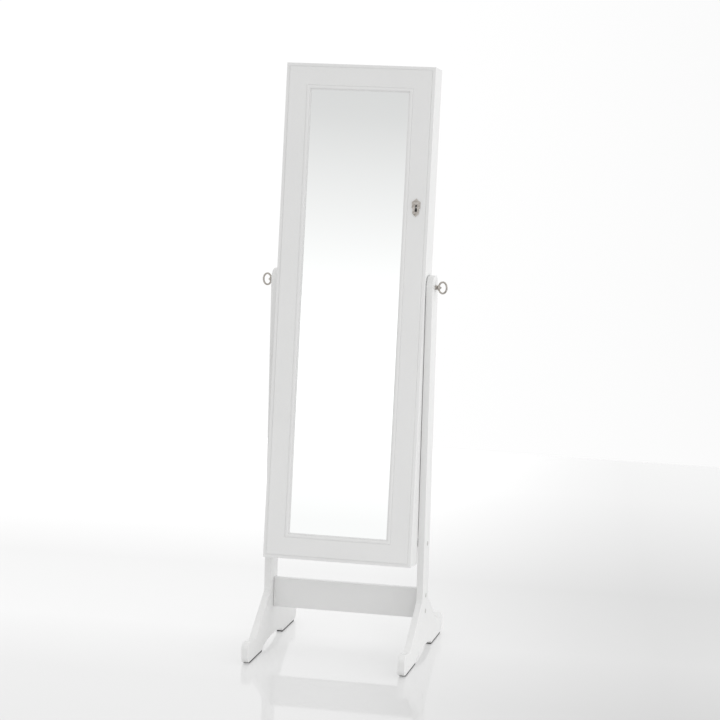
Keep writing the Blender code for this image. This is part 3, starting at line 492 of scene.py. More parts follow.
def side_frame_outline(bottom, top):
    """Outline of a side frame as (y, z) points: round-cornered post on a long, low, symmetric foot."""
    kink = (POST_HALF_DEPTH, KINK_HEIGHT)
    toe_top = (TOE_TIP - TOE_TOP_RADIUS, TOE_CREST - TOE_TOP_RADIUS)
    toe_bottom = (TOE_TIP - TOE_BOTTOM_RADIUS, bottom + TOE_BOTTOM_RADIUS)
    corner = (POST_HALF_DEPTH - POST_CORNER_RADIUS, top - POST_CORNER_RADIUS)
    half = arc(corner, (POST_CORNER_RADIUS, POST_CORNER_RADIUS), 90, 0, 28)
    half += fillet((POST_HALF_DEPTH, PIVOT.z), kink, SLOPE_END, KINK_RADIUS, 10)
    half += fillet(kink, SLOPE_END, (toe_top[0], TOE_CREST), SLOPE_END_RADIUS, 8)
    half += arc(toe_top, (TOE_TOP_RADIUS, TOE_TOP_RADIUS), 98, 0, 28)
    half += arc(toe_bottom, (TOE_BOTTOM_RADIUS, TOE_BOTTOM_RADIUS), 0, -90, 26)
    half.append((ARCH_HALF_LENGTH + 0.002, bottom))
    springing = bottom + ARCH_RISER
    rise = ARCH_HEIGHT - ARCH_RISER
    radius = (ARCH_HALF_LENGTH ** 2 + rise ** 2) / (2 * rise)
    steps = 24
    for step in range(steps):
        y = ARCH_HALF_LENGTH * (1 - step / steps)
        half.append((y, springing + rise - radius + (radius ** 2 - y ** 2) ** 0.5))
    mirrored = [(-y, z) for y, z in reversed(half)]
    return half + mirrored


def screw_places():
    """Heights of the three covered screws, and their common y, from the screws themselves."""
    places = []
    for node in ("rail_screw_right_lower", "rail_screw_right_upper", "stop_screw_right"):
        low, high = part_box(node)
        places.append(((low + high) / 2).yz)
    return places


def make_side_frame(side, name):
    node = "side_frame_" + name
    low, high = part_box(node)
    outer = high.x if side > 0 else low.x
    inner = low.x if side > 0 else high.x
    outline = side_frame_outline(low.z, high.z)
    stand_up = Matrix(((0, 0, 1, low.x), (1, 0, 0, 0), (0, 1, 0, 0), (0, 0, 0, 1)))
    board = rounded(extruded(outline, high.x - low.x, stand_up), FRAME_ROUNDING, 5, 60.0)
    outward = (side, 0.0, 0.0)
    above, below = OVERCUT, (inner - outer) * side - OVERCUT
    holes = []
    for y, z in screw_places():
        profile = [
            (0.0, above),
            (COUNTERBORE_RADIUS, above),
            (COUNTERBORE_RADIUS, -COUNTERBORE_DEPTH),
            (SCREW_HOLE_RADIUS, -COUNTERBORE_DEPTH),
            (SCREW_HOLE_RADIUS, below),
            (0.0, below),
        ]
        holes.append(lathe(profile, 40, facing((outer, y, z), outward)))
    radius = PIVOT_HOLE_RADIUS
    pivot_profile = [(0.0, above), (radius, above), (radius, below), (0.0, below)]
    holes.append(lathe(pivot_profile, 40, facing((outer, 0.0, PIVOT.z), outward)))
    board = combined(board, holes)
    add_piece("visual_" + node, board, "stand", "white_paint", WORLD, [node])


def cap_profile():
    """A cover cap: thin domed disc with a rolled edge, on a short plug, seen from its top down."""
    plug_radius, plug_end = 0.0044, -0.0026
    dome = [(0.0058 * sin(radians(a)), 0.0004 + 0.0007 * cos(radians(a))) for a in range(0, 91, 9)]
    rim = [(0.0060, 0.0002), (0.0059, 0.00005), (plug_radius, 0.00005)]
    return dome + rim + [(plug_radius, plug_end), (0.0, plug_end)]


def make_caps(side, name):
    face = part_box("side_frame_" + name)[1 if side > 0 else 0].x
    for level, (y, z) in zip(("lower", "middle", "upper"), screw_places()):
        cap = lathe(cap_profile(), 48, facing((face, y, z), (side, 0.0, 0.0)))
        add_piece(f"screw_cap_{name}_{level}", cap, "stand", "white_plastic", WORLD, look=DARKENED_CAP_LOOK)


# ---------------------------------------------------------------- pivot

RING_WIRE_RADIUS = 0.0023
RING_HALF_WIDTH = 0.0098


def bolt_profile(inner_end):
    """Ring bolt from its outer nub inwards: flared head, neck, collar and shank, from the frame's face."""
    nub = arc((0.0, 0.0135), (0.0024, 0.0022), 90, 0, 8)
    head = [
        (0.0024, 0.0126),
        (0.0030, 0.0121),
        (0.0058, 0.0117),
        (0.0074, 0.0111),
        (0.0082, 0.0103),
        (0.0084, 0.0095),
        (0.0083, 0.0085),
        (0.0076, 0.0075),
        (0.0062, 0.0063),
        (0.0049, 0.0053),
        (0.0043, 0.0047),
        (0.0042, 0.0042),
    ]
    collar = [
        (0.0045, 0.0040),
        (0.0055, 0.0037),
        (0.0058, 0.0032),
        (0.0058, 0.0011),
        (0.0057, 0.0006),
        (0.0052, 0.0003),
    ]
    shank = [(0.0030, 0.0003), (0.0030, inner_end + 0.001), (0.0020, inner_end), (0.0, inner_end)]
    return nub + head + collar + shank


def make_ring_bolt(side, name):
    node = "ring_bolt_" + name
    low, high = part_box(node)
    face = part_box("side_frame_" + name)[1 if side > 0 else 0].x
    tip = high.x if side > 0 else low.x
    inner_end = (low.x if side > 0 else high.x) * side - face * side
    wire = RING_WIRE_RADIUS
    half_height = (high.z - low.z) / 2 - wire
    half_width = RING_HALF_WIDTH
    centre_x = tip - side * (half_width + wire)
    steps = 96
    angles = [2 * pi * step / steps for step in range(steps)]
    oval = [(centre_x + half_width * cos(a), 0.0, PIVOT.z + half_height * sin(a)) for a in angles]
    ring = tube(oval, wire, 20, closed=True)
    bolt = lathe(bolt_profile(inner_end), 64, facing((face, 0.0, PIVOT.z), (side, 0.0, 0.0)))
    joined = combined(bolt, [ring], "UNION")
    add_piece("visual_" + node, joined, node, "antique_nickel", WORLD, [node], 40.0)


# ---------------------------------------------------------------- screws

def cross_cutters(size, top, depth):
    """Two crossed bars that cut a screw head's recess, in the head's own frame."""
    half, narrow = size / 2, size / 8
    first = box_mesh((-half, -narrow, top - depth), (half, narrow, top + 0.001))
    second = box_mesh((-narrow, -half, top - depth), (narrow, half, top + 0.001))
    return [first, second]


def pan_head(radius, height):
    """A domed screw head with a cross recess, its flat side on z 0."""
    dome = arc((0.0, height * 0.35), (radius, height * 0.65), 90, 0, 10)
    head = lathe(dome + [(radius * 0.97, 0.0), (0.0, 0.0)], 32)
    return combined(head, cross_cutters(radius * 1.25, height, height * 0.75))


def flat_head(radius, depth):
    """A countersunk screw head with a cross recess, its flat top on z 0 and its shank below."""
    profile = [
        (0.0, 0.0),
        (radius * 0.94, 0.0),
        (radius, -depth * 0.12),
        (radius * 0.45, -depth),
        (radius * 0.45, -depth * 2.2),
        (0.0, -depth * 2.2),
    ]
    return combined(lathe(profile, 32), cross_cutters(radius * 1.3, 0.0, depth * 0.6))


def add_screws(stem, mesh, places, body, slot):
    """Copies of a screw, one for each (origin, direction, turn in degrees) in the cabinet frame."""
    for number, (origin, direction, turn) in enumerate(places, start=1):
        place = CABINET @ facing(origin, direction) @ Matrix.Rotation(radians(turn), 4, "Z")
        add_piece(f"{stem}_{number}", mesh.copy(), body, slot, place)


# ---------------------------------------------------------------- door

STILE_LOW = box_of("door_stile_left")[0]
RAIL_LOW = box_of("door_rail_bottom")[0]
DOOR_LOW = Vector([min(STILE_LOW[i], RAIL_LOW[i]) for i in range(3)])
DOOR_HIGH = Vector([max(box_of("door_stile_right")[1][i], box_of("door_rail_top")[1][i]) for i in range(3)])
DOOR_HALF_WIDTH = DOOR_HIGH.x
DOOR_HALF_HEIGHT = (DOOR_HIGH.z - DOOR_LOW.z) / 2
DOOR_MIDDLE_Z = (DOOR_HIGH.z + DOOR_LOW.z) / 2
DOOR_BACK = DOOR_HIGH.y
DOOR_THICKNESS = 0.015
DOOR_FACE = DOOR_BACK - DOOR_THICKNESS
EDGE_STRIP = 0.0085
FACE_END = 0.0525
BEAD_END = 0.0640
BEAD_BACK = 0.0095  # how far the rebate for the glass lies in front of the door's back


def frame_section():
    """Section of the door frame as (distance in from the edge, distance out from the back).

    From the rear outer corner: a lower strip round the outside and the groove beside it, the flat face,
    a quirk, a low round bead and a cove beside the glass, with a rebate for the glass behind them.
    """
    face = DOOR_THICKNESS
    quirk = face - 0.0008
    bead_start = FACE_END + 0.0009
    bead_half = 0.0038
    bead_height = 0.0016
    points = [(0.0, 0.0003), (0.0, face - 0.0029)]
    points += arc((0.0009, face - 0.0029), (0.0009, 0.0009), 180, 93, 5)[1:]
    points += [(EDGE_STRIP - 0.0011, face - 0.0017)]
    points += arc((EDGE_STRIP - 0.0005, face - 0.0019), (0.0005, 0.0004), 180, 350, 7)
    points += arc((EDGE_STRIP + 0.0007, face - 0.0007), (0.0007, 0.0007), 180, 90, 5)
    points += arc((FACE_END - 0.0005, face - 0.0005), (0.0005, 0.0005), 90, 5, 4)
    points += arc((FACE_END + 0.0003, quirk + 0.0003), (0.0003, 0.0003), 180, 270, 3)
    points += [(bead_start - 0.0002, quirk)]
    points += arc((bead_start + bead_half, quirk), (bead_half, bead_height), 172, 6, 20)
    points += arc((BEAD_END - 0.0008, 0.0124), (0.0021, 0.0022), 180, 265, 9)
    points += [(BEAD_END - 0.0001, 0.0101), (BEAD_END, 0.0099), (BEAD_END, BEAD_BACK)]
    points += [(FACE_END, BEAD_BACK), (FACE_END, 0.0003), (FACE_END - 0.0003, 0.0), (0.0003, 0.0)]
    return points


def moulding(half_offset, half_length, quarter_turns):
    """A moulding along one side of the door, mitred at both ends; quarter turns choose the side."""
    shape = bmesh.new()
    section = []
    for inset, out in frame_section():
        section.append(shape.verts.new((inset - half_offset, DOOR_BACK - out, inset - half_length)))
    end = shape.faces.new(section)
    grown = bmesh.ops.extrude_face_region(shape, geom=[end], use_keep_orig=True)
    for item in grown["geom"]:
        if isinstance(item, bmesh.types.BMVert):
            item.co.z = -item.co.z
    bmesh.ops.recalc_face_normals(shape, faces=shape.faces)
    turn = Matrix.Rotation(quarter_turns * pi / 2, 4, "Y")
    bmesh.ops.transform(shape, matrix=Matrix.Translation((0, 0, DOOR_MIDDLE_Z)) @ turn, verts=shape.verts)
    return to_mesh("moulding", shape)


def hinge_seats():
    """Cutters for the leaves and knuckles let into the left stile's back."""
    cutters = []
    for number in (1, 2, 3):
        leaf_high = box_of(f"hinge_leaf_door_{number}")[1]
        pin_low, pin_high = box_of(f"hinge_pin_{number}")
        margin = Vector((0.0003, 0.0003, 0.0003))
        plate_low = Vector((pin_high.x, DOOR_BACK - 0.0015, pin_low.z + 0.0003)) - margin
        plate_high = Vector((leaf_high.x, DOOR_BACK + 0.003, pin_high.z - 0.0013)) + margin
        cutters.append(box_mesh(plate_low, plate_high))
        axis = (pin_low + pin_high) / 2
        reach = (pin_high.z - pin_low.z) / 2 + 0.001
        profile = [(0.0, reach), (0.0031, reach), (0.0031, -reach), (0.0, -reach)]
        cutters.append(lathe(profile, 32, Matrix.Translation(axis)))
    return cutters


# heights are from the key plate's middle
KEYHOLE_EYE_UP = 0.0046
KEYHOLE_EYE_RADIUS = 0.0025
KEYHOLE_SLOT_HALF_WIDTH = 0.0020
KEYHOLE_SLOT_BOTTOM = -0.0098
WARD_HALF_WIDTH = 0.0029
WARD_TOP = -0.0032


def lock_centre():
    low, high = box_of("escutcheon")
    return (low + high) / 2


def keyhole_cutters(front, back):
    """A round eye over a slot that widens at its foot, cut between two y values."""
    centre = lock_centre()
    reach = back - front
    eye_place = facing((centre.x, front, centre.z + KEYHOLE_EYE_UP), (0, -1, 0))
    profile = [(0.0, 0.0), (KEYHOLE_EYE_RADIUS, 0.0), (KEYHOLE_EYE_RADIUS, -reach), (0.0, -reach)]
    eye = lathe(profile, 40, eye_place)
    half = KEYHOLE_SLOT_HALF_WIDTH
    low = (centre.x - half, front, centre.z + KEYHOLE_SLOT_BOTTOM)
    high = (centre.x + half, back, centre.z + KEYHOLE_EYE_UP)
    slot = box_mesh(low, high)
    low = (centre.x - WARD_HALF_WIDTH, front, centre.z + KEYHOLE_SLOT_BOTTOM - 0.0002)
    high = (centre.x + WARD_HALF_WIDTH, back, centre.z + WARD_TOP)
    return [eye, slot, box_mesh(low, high)]


def make_door_frame():
    sides = [
        ("door_stile_left", DOOR_HALF_WIDTH, DOOR_HALF_HEIGHT, 0),
        ("door_rail_top", DOOR_HALF_HEIGHT, DOOR_HALF_WIDTH, 1),
        ("door_stile_right", DOOR_HALF_WIDTH, DOOR_HALF_HEIGHT, 2),
        ("door_rail_bottom", DOOR_HALF_HEIGHT, DOOR_HALF_WIDTH, 3),
    ]
    for node, half_offset, half_length, turns in sides:
        member = moulding(half_offset, half_length, turns)
        if node == "door_stile_left":
            member = combined(member, hinge_seats())
        if node == "door_stile_right":
            member = combined(member, keyhole_cutters(DOOR_FACE - 0.002, DOOR_BACK + 0.002))
        add_piece("visual_" + node, member, "door", "white_paint", CABINET, [node], 32.0)


# ---------------------------------------------------------------- key plate

def escutcheon_outline():
    """Key plate outline about its centre: pointed ends, wide shoulders above, a narrower body below."""
    upper = [(0.0, 0.0225), (0.0030, 0.0196), (0.0066, 0.0166), (0.0104, 0.0142)]
    waist = [(0.0104, 0.0142), (0.0108, 0.0122), (0.0104, 0.0090), (0.0103, 0.0040), (0.0108, 0.0008)]
    hip = [(0.0108, 0.0008), (0.0102, -0.0014), (0.0082, -0.0030), (0.0080, -0.0050)]
    body = [(0.0080, -0.0050), (0.0084, -0.0090), (0.0080, -0.0136), (0.0058, -0.0170)]
    foot = [(0.0058, -0.0170), (0.0028, -0.0196), (0.0, -0.0228)]
    right = []
    for stretch in (upper, waist, hip, body, foot):
        right += curve_through(stretch, 5)[:-1]
    right.append(Vector(foot[-1]))
    left = [Vector((-point.x, point.y)) for point in reversed(right[1:-1])]
    return [(point.x, point.y) for point in right + left]


def make_escutcheon():
    low, high = box_of("escutcheon")
    centre = lock_centre()
    thickness = high.y - low.y
    upright = Matrix.Translation((centre.x, high.y, centre.z)) @ Matrix.Rotation(pi / 2, 4, "X")
    sunk = [(x * 0.84, y * 0.91) for x, y in escutcheon_outline()]
    plate = extruded(escutcheon_outline(), thickness * 0.9, upright)
    plate = rounded(plate, 0.0003, 3, 50.0)
    pocket = extruded(sunk, 0.002, upright @ Matrix.Translation((0, 0, thickness * 0.6)))
    plate = combined(plate, [pocket])
    boss_profile = (
        [(0.0032, 0.0004)]
        + arc((0.0046, thickness - 0.0005), (0.0011, 0.0005), 180, 0, 10)
        + [(0.0057, 0.0004)]
    )
    boss_place = facing((centre.x, high.y, centre.z + KEYHOLE_EYE_UP), (0, -1, 0))
    boss = lathe(boss_profile[::-1], 56, boss_place)
    plate = combined(plate, [boss], "UNION")
    plate = combined(plate, keyhole_cutters(low.y - 0.002, high.y + 0.0005))
    add_piece("visual_escutcheon", plate, "door", "antique_nickel", CABINET, ["escutcheon"], 28.0)
    pin = lathe(arc((0.0, 0.0), (0.0011, 0.0008), 90, 0, 8) + [(0.0011, -0.0012), (0.0, -0.0012)], 28)
    for number, up in enumerate((0.0160, -0.0168), start=1):
        place = CABINET @ facing((centre.x, low.y + 0.0006, centre.z + up), (0, -1, 0))
        add_piece(f"escutcheon_pin_{number}", pin.copy(), "door", "antique_nickel", place)
    post_place = CABINET @ facing((centre.x, DOOR_FACE + 0.0002, centre.z + 0.0010), (0, -1, 0))
    post = lathe([(0.0, 0.0), (0.0011, 0.0), (0.0014, -0.0003), (0.0014, -0.0120), (0.0, -0.0120)], 28)
    add_piece("lock_key_post", post, "door", "bright_steel", post_place)
    # painted shade: near-black sheets just behind the keyhole stand in for the shade inside it
    shade_sheets = (
        ("upper", KEYHOLE_SLOT_HALF_WIDTH, WARD_TOP + 0.0001, KEYHOLE_EYE_UP + 0.0020),
        ("lower", WARD_HALF_WIDTH, KEYHOLE_SLOT_BOTTOM, WARD_TOP),
    )
    for name, half, bottom, top in shade_sheets:
        shade_sheet_low = (centre.x - half + 0.0001, DOOR_FACE + 0.0022, centre.z + bottom)
        shade_sheet_high = (centre.x + half - 0.0001, DOOR_FACE + 0.0030, centre.z + top)
        shade_sheet = box_mesh(shade_sheet_low, shade_sheet_high, 0.0001, 1)
        add_piece(f"keyhole_shade_sheet_{name}", shade_sheet, "door", "bright_steel", look=KEYHOLE_SHADE_LOOK)


# ---------------------------------------------------------------- inside the door

def make_door_back_fittings():
    """Clips that hold the mirror's backing, and the rivets of the lock case."""
    backing_low, backing_high = box_of("mirror_backing")
    clip_y = DOOR_BACK + 0.0003
    spots = []
    for side, _ in SIDES:
        edge = side * (backing_high.x + 0.0003)
        spots += [(edge, -0.400, 0.0), (edge, 0.300, 0.0)]
        middle = (backing_low.z + backing_high.z) / 2
        half = (backing_high.z - backing_low.z) / 2 + 0.0003
        spots += [(0.070 * side, middle - half, 90.0), (0.070 * side, middle + half, 90.0)]
    outline = arc((0.007, 0.0), (0.005, 0.005), 90, -90, 12)
    outline += arc((-0.007, 0.0), (0.005, 0.005), 270, 90, 12)
    clip = rounded(extruded(outline, 0.0010), 0.0003, 3, 60.0)
    head = pan_head(0.0028, 0.0016)
    for number, (x, z, turn) in enumerate(spots, start=1):
        place = CABINET @ facing((x, clip_y, z), (0, 1, 0)) @ Matrix.Rotation(radians(turn), 4, "Z")
        add_piece(f"backing_clip_{number}", clip.copy(), "door", "white_plastic", place)
        top = place @ Matrix.Translation((0, 0, 0.0010)) @ Matrix.Rotation(radians(37.0 * number), 4, "Z")
        add_piece(f"backing_clip_screw_{number}", head.copy(), "door", "bright_steel", top)
    case_low, case_high = box_of("lock_case")
    rivet = lathe(arc((0.0, 0.0), (0.0018, 0.0009), 90, 0, 8) + [(0.0, 0.0)], 28)
    for number, (x, z) in enumerate(((0.25, 0.22), (0.25, 0.78), (0.75, 0.14), (0.75, 0.86)), start=1):
        size = case_high - case_low
        spot = (case_low.x + size.x * x, case_high.y, case_low.z + size.z * z)
        place = CABINET @ facing(spot, (0, 1, 0))
        add_piece(f"lock_case_rivet_{number}", rivet.copy(), "door", "bright_steel", place)


def make_hinge_screws():
    """Flat-head screws in the two countersunk holes of every hinge leaf."""
    across, up_and_down = 0.0072, (0.0135, -0.0135)
    leaves = (("cabinet", -1, DOOR_BACK + 0.0008), ("door", 1, DOOR_BACK - 0.0003))
    for body, direction, head_y in leaves:
        places = []
        for number in (1, 2, 3):
            pin_low, pin_high = box_of(f"hinge_pin_{number}")
            axis = (pin_low + pin_high) / 2
            for up in up_and_down:
                spot = (axis.x + across, head_y, axis.z - 0.0005 + up)
                places.append((spot, (0, direction, 0), 31.0 * number + 1000.0 * up))
        add_screws(f"hinge_screw_{body}", flat_head(0.0033, 0.0009), places, body, "antique_nickel")


# ---------------------------------------------------------------- cabinet

def make_back_screws():
    low, high = box_of("cabinet_back")
    places = []
    for z in (low.z + 0.006, high.z - 0.006):
        for x in (-0.14, 0.0, 0.14):
            places.append(((x, high.y, z), (0, 1, 0), 500.0 * x + 300.0 * z))
    add_screws("back_panel_screw", pan_head(0.0032, 0.0014), places, "cabinet", "bright_steel")


def hook_mesh():
    """A cup hook screwed in along +Z: collar, stem, and a wire that drops and turns up again."""
    stem = [(0.0, 0.0, -0.002), (0.0, 0.0, 0.003)]
    bend = 0.0055
    turns = [radians(degrees) for degrees in range(0, 251, 25)]
    drop = [(0.0, bend * (cos(angle) - 1), 0.005 + bend * sin(angle)) for angle in turns]
    wire = tube([*map(tuple, curve_through([Vector(p) for p in stem + drop], 4))], 0.0011, 14)
    collar = lathe(arc((0.0, 0.0), (0.0036, 0.0013), 90, 0, 8) + [(0.0036, -0.0002), (0.0, -0.0002)], 32)
    return combined(wire, [collar], "UNION")


def make_hooks():
    low, high = box_of("necklace_rail")
    middle = (low.z + high.z) / 2
    mesh = hook_mesh()
    count = 8
    reach = 0.14
    for number in range(count):
        x = -reach + 2 * reach * number / (count - 1)
        axes = Matrix(((1, 0, 0, x), (0, 0, -1, low.y), (0, 1, 0, middle), (0, 0, 0, 1)))
        add_piece(f"necklace_hook_{number + 1}", mesh.copy(), "cabinet", "antique_nickel", CABINET @ axes)


def make_lining():
    """The velvet-covered board behind the shelves, its covering a little uneven."""
    low, high = box_of("lining_panel")
    shape = bmesh.new()
    columns, rows = 60, 200
    bmesh.ops.create_grid(shape, x_segments=columns, y_segments=rows, size=0.5)
    width, height = high.x - low.x, high.z - low.z
    for vertex in shape.verts:
        u, v = vertex.co.x, vertex.co.y
        edge = min(0.5 - abs(u), (0.5 - abs(v)) * height / width) * width
        drop = 0.0007 * max(0.0, 1 - edge / 0.0025) ** 2
        ripple = 0.00012 * (noise.noise(Vector((u * 7, v * 26, 0.3))) - 0.5)
        vertex.co = (low.x + width * (u + 0.5), low.y + 0.0002 + drop - ripple, low.z + height * (v + 0.5))
    rim = [edge for edge in shape.edges if edge.is_boundary]
    skirt = bmesh.ops.extrude_edge_only(shape, edges=rim)
    for item in skirt["geom"]:
        if isinstance(item, bmesh.types.BMVert):
            item.co.y = high.y
    bmesh.ops.holes_fill(shape, edges=[edge for edge in shape.edges if edge.is_boundary])
    bmesh.ops.recalc_face_normals(shape, faces=shape.faces)
    mesh = to_mesh("lining", shape)
    add_piece("velvet_lining", mesh, "cabinet", "black_velvet", CABINET, ["lining_panel"], 50.0)


def roll_mesh(length, radius_y, radius_z, seed):
    """A foam roll wrapped in velvet, lying along X: full, pulled in at its tucked ends, lightly dented."""
    shape = bmesh.new()
    stations, sides = 90, 28
    rings = []
    for station in range(stations + 1):
        t = station / stations
        x = length * (t - 0.5)
        to_end = min(t, 1 - t) * length
        fullness = (1 - max(0.0, 1 - to_end / 0.006) ** 2.4) ** 0.5 if to_end < 0.006 else 1.0
        ring = []
        for step in range(sides):
            a = 2 * pi * step / sides
            dent = noise.noise(Vector((x * 38, cos(a) * 0.9, sin(a) * 0.9 + seed)))
            gather = 0.05 * cos(9 * a) * max(0.0, 1 - to_end / 0.010)
            scale = fullness * (1 + 0.045 * (dent - 0.5) + gather)
            ring.append(shape.verts.new((x, radius_y * cos(a) * scale, radius_z * sin(a) * scale)))
        rings.append(ring)
    for first, second in zip(rings, rings[1:]):
        for step in range(sides):
            ahead = (step + 1) % sides
            shape.faces.new((first[step], second[step], second[ahead], first[ahead]))
    bmesh.ops.remove_doubles(shape, verts=shape.verts, dist=1e-6)
    bmesh.ops.holes_fill(shape, edges=[edge for edge in shape.edges if edge.is_boundary])
    bmesh.ops.recalc_face_normals(shape, faces=shape.faces)
    return to_mesh("roll", shape)


def make_ring_rolls():
    """The padded insert that rings are pushed into: a card base with velvet rolls side by side."""
    low, high = box_of("ring_cushion")
    base_top = low.z + 0.0022
    base = box_mesh(low, (high.x, high.y, base_top), 0.0008, 3)
    add_piece("ring_roll_base", base, "cabinet", "black_velvet", CABINET, ["ring_cushion"])
    count = 5
    pitch = (high.y - low.y) / count
    radius_z = (high.z - base_top) / 2
    for number in range(count):
        middle = Vector(((low.x + high.x) / 2, low.y + pitch * (number + 0.5), base_top + radius_z))
        mesh = roll_mesh(high.x - low.x - 0.002, pitch / 2 - 0.0001, radius_z + 0.0003, 3.7 * number)
        place = CABINET @ Matrix.Translation(middle)
        name = f"ring_roll_{number + 1}"
        roll = add_piece(name, mesh, "cabinet", "black_velvet", place, ["ring_cushion"], 60.0)


def make_catch_poles():
    """Two steel poles of the magnetic catch."""
    low, high = box_of("magnet_catch")
    for number, x in enumerate((low.x + 0.0045, high.x - 0.0045), start=1):
        pole_low = (x - 0.0008, low.y - 0.0004, low.z + 0.006)
        pole_high = (x + 0.0008, low.y + 0.004, high.z - 0.006)
        pole = box_mesh(pole_low, pole_high, 0.0002, 2)
        add_piece(f"magnet_catch_pole_{number}", pole, "cabinet", "bright_steel")


# ---------------------------------------------------------------- floor, light and camera

FLOOR_FAR = 2.9
FLOOR_NEAR = -14.0
FLOOR_HALF_WIDTH = 9.0
FLOOR_GLOW = 0.37
FLOOR_REFLECTANCE = 0.66
# The floor's colour holds painted light and shade, set by depth and by distance to the right.
FLOOR_PAINTED_SHADE_SLANT = 0.15  # how far the shade to the right also moves with each metre towards the back
# painted light on the floor: (metres from the pivot, grey) towards the back, lighter far back and in a band
# under the object against its shadow, and (metres, factor) towards the right, where painted shade darkens
# it
FLOOR_PAINTED_LIGHT_BY_DEPTH = [
    (-1.0, 0.67),
    (-0.4, 0.69),
    (0.1, 0.77),
    (0.8, 0.72),
    (1.4, 0.82),
    (2.2, 0.94),
    (2.9, 0.98),
]
FLOOR_PAINTED_SHADE_BY_WIDTH = [(-0.4, 1.0), (0.0, 0.975), (0.2, 0.91), (0.4, 0.84), (0.6, 0.77), (0.8, 0.72)]


def ramp_over(tree, value, low, high, stops):
    """A grey ramp through (value, grey) stops."""
    spread = add_node(tree, "ShaderNodeMapRange")
    spread.inputs["From Min"].default_value = low
    spread.inputs["From Max"].default_value = high
    link(tree, value, spread.inputs["Value"])
    placed = [((at - low) / (high - low), (grey, grey, grey)) for at, grey in stops]
    return ramp_of(tree, spread.outputs["Result"], placed)


def make_floor():
    """A plain, polished, pale studio floor with painted light in its colour: lighter towards the back and
    under the object, painted shade towards the right, and a glow, so that shadows on it stay weak.
    """
    shape = bmesh.new()
    across, near, far = FLOOR_HALF_WIDTH, FLOOR_NEAR, FLOOR_FAR
    corners = [(-across, near), (across, near), (across, far), (-across, far)]
    shape.faces.new([shape.verts.new((x, y, 0.0)) for x, y in corners])
    floor = bpy.data.objects.new("floor", to_mesh("floor", shape))
    bpy.context.scene.collection.objects.link(floor)
    material = new_material("pale_floor_painted_light", (0.80, 0.80, 0.80), 0.045)
    tree = material.node_tree
    coordinates = add_node(tree, "ShaderNodeTexCoord")
    split = add_node(tree, "ShaderNodeSeparateXYZ")
    link(tree, coordinates.outputs["Object"], split.inputs["Vector"])
    along = ramp_over(tree, split.outputs["Y"], -1.0, FLOOR_FAR, FLOOR_PAINTED_LIGHT_BY_DEPTH)
    slant = add_node(tree, "ShaderNodeMath", operation="MULTIPLY_ADD")
    link(tree, split.outputs["Y"], slant.inputs[0])
    slant.inputs[1].default_value = FLOOR_PAINTED_SHADE_SLANT
    link(tree, split.outputs["X"], slant.inputs[2])
    rightward = ramp_over(tree, slant.outputs[0], -1.0, 1.0, FLOOR_PAINTED_SHADE_BY_WIDTH)
    # painted light: the grey by depth times the painted shade to the right
    painted_floor_light = add_node(tree, "ShaderNodeMix", data_type="RGBA", blend_type="MULTIPLY")
    painted_floor_light.inputs["Factor"].default_value = 1.0
    link(tree, along, painted_floor_light.inputs[6])
    link(tree, rightward, painted_floor_light.inputs[7])
    shader = tree.nodes["Principled BSDF"]
    duller = add_node(tree, "ShaderNodeMix", data_type="RGBA", blend_type="MULTIPLY")
    duller.inputs["Factor"].default_value = 1.0
    duller.inputs[7].default_value = (FLOOR_REFLECTANCE, FLOOR_REFLECTANCE, FLOOR_REFLECTANCE, 1.0)
    link(tree, painted_floor_light.outputs[2], duller.inputs[6])
    link(tree, duller.outputs[2], shader.inputs["Base Color"])
    # the floor also glows with this painted light, which keeps shadows on it weak
    link(tree, painted_floor_light.outputs[2], shader.inputs["Emission Color"])
    shader.inputs["Emission Strength"].default_value = FLOOR_GLOW
    floor.data.materials.append(material)


LOWEST = -0.05
# (sine of the elevation, brightness) of the studio in front of the mirror
FRONT_GREYS = [
    (-0.050, 1.015),
    (0.000, 1.015),
    (0.020, 1.10),
    (0.040, 1.22),
    (0.085, 1.22),
    (0.0975, 1.07),
    (0.1175, 0.976),
    (0.140, 0.871),
    (0.1625, 0.755),
    (0.185, 0.712),
    (0.240, 0.74),
    (0.320, 0.93),
    (0.600, 0.93),
    (0.750, 0.70),
    (0.900, 0.95),
]
# (rightward part of the direction, brightness) of the studio behind and beside the object
BACK_GREYS = [(-1.0, 1.10), (-0.34, 1.04), (-0.20, 1.01), (-0.05, 0.955), (0.20, 1.00), (0.90, 1.22)]


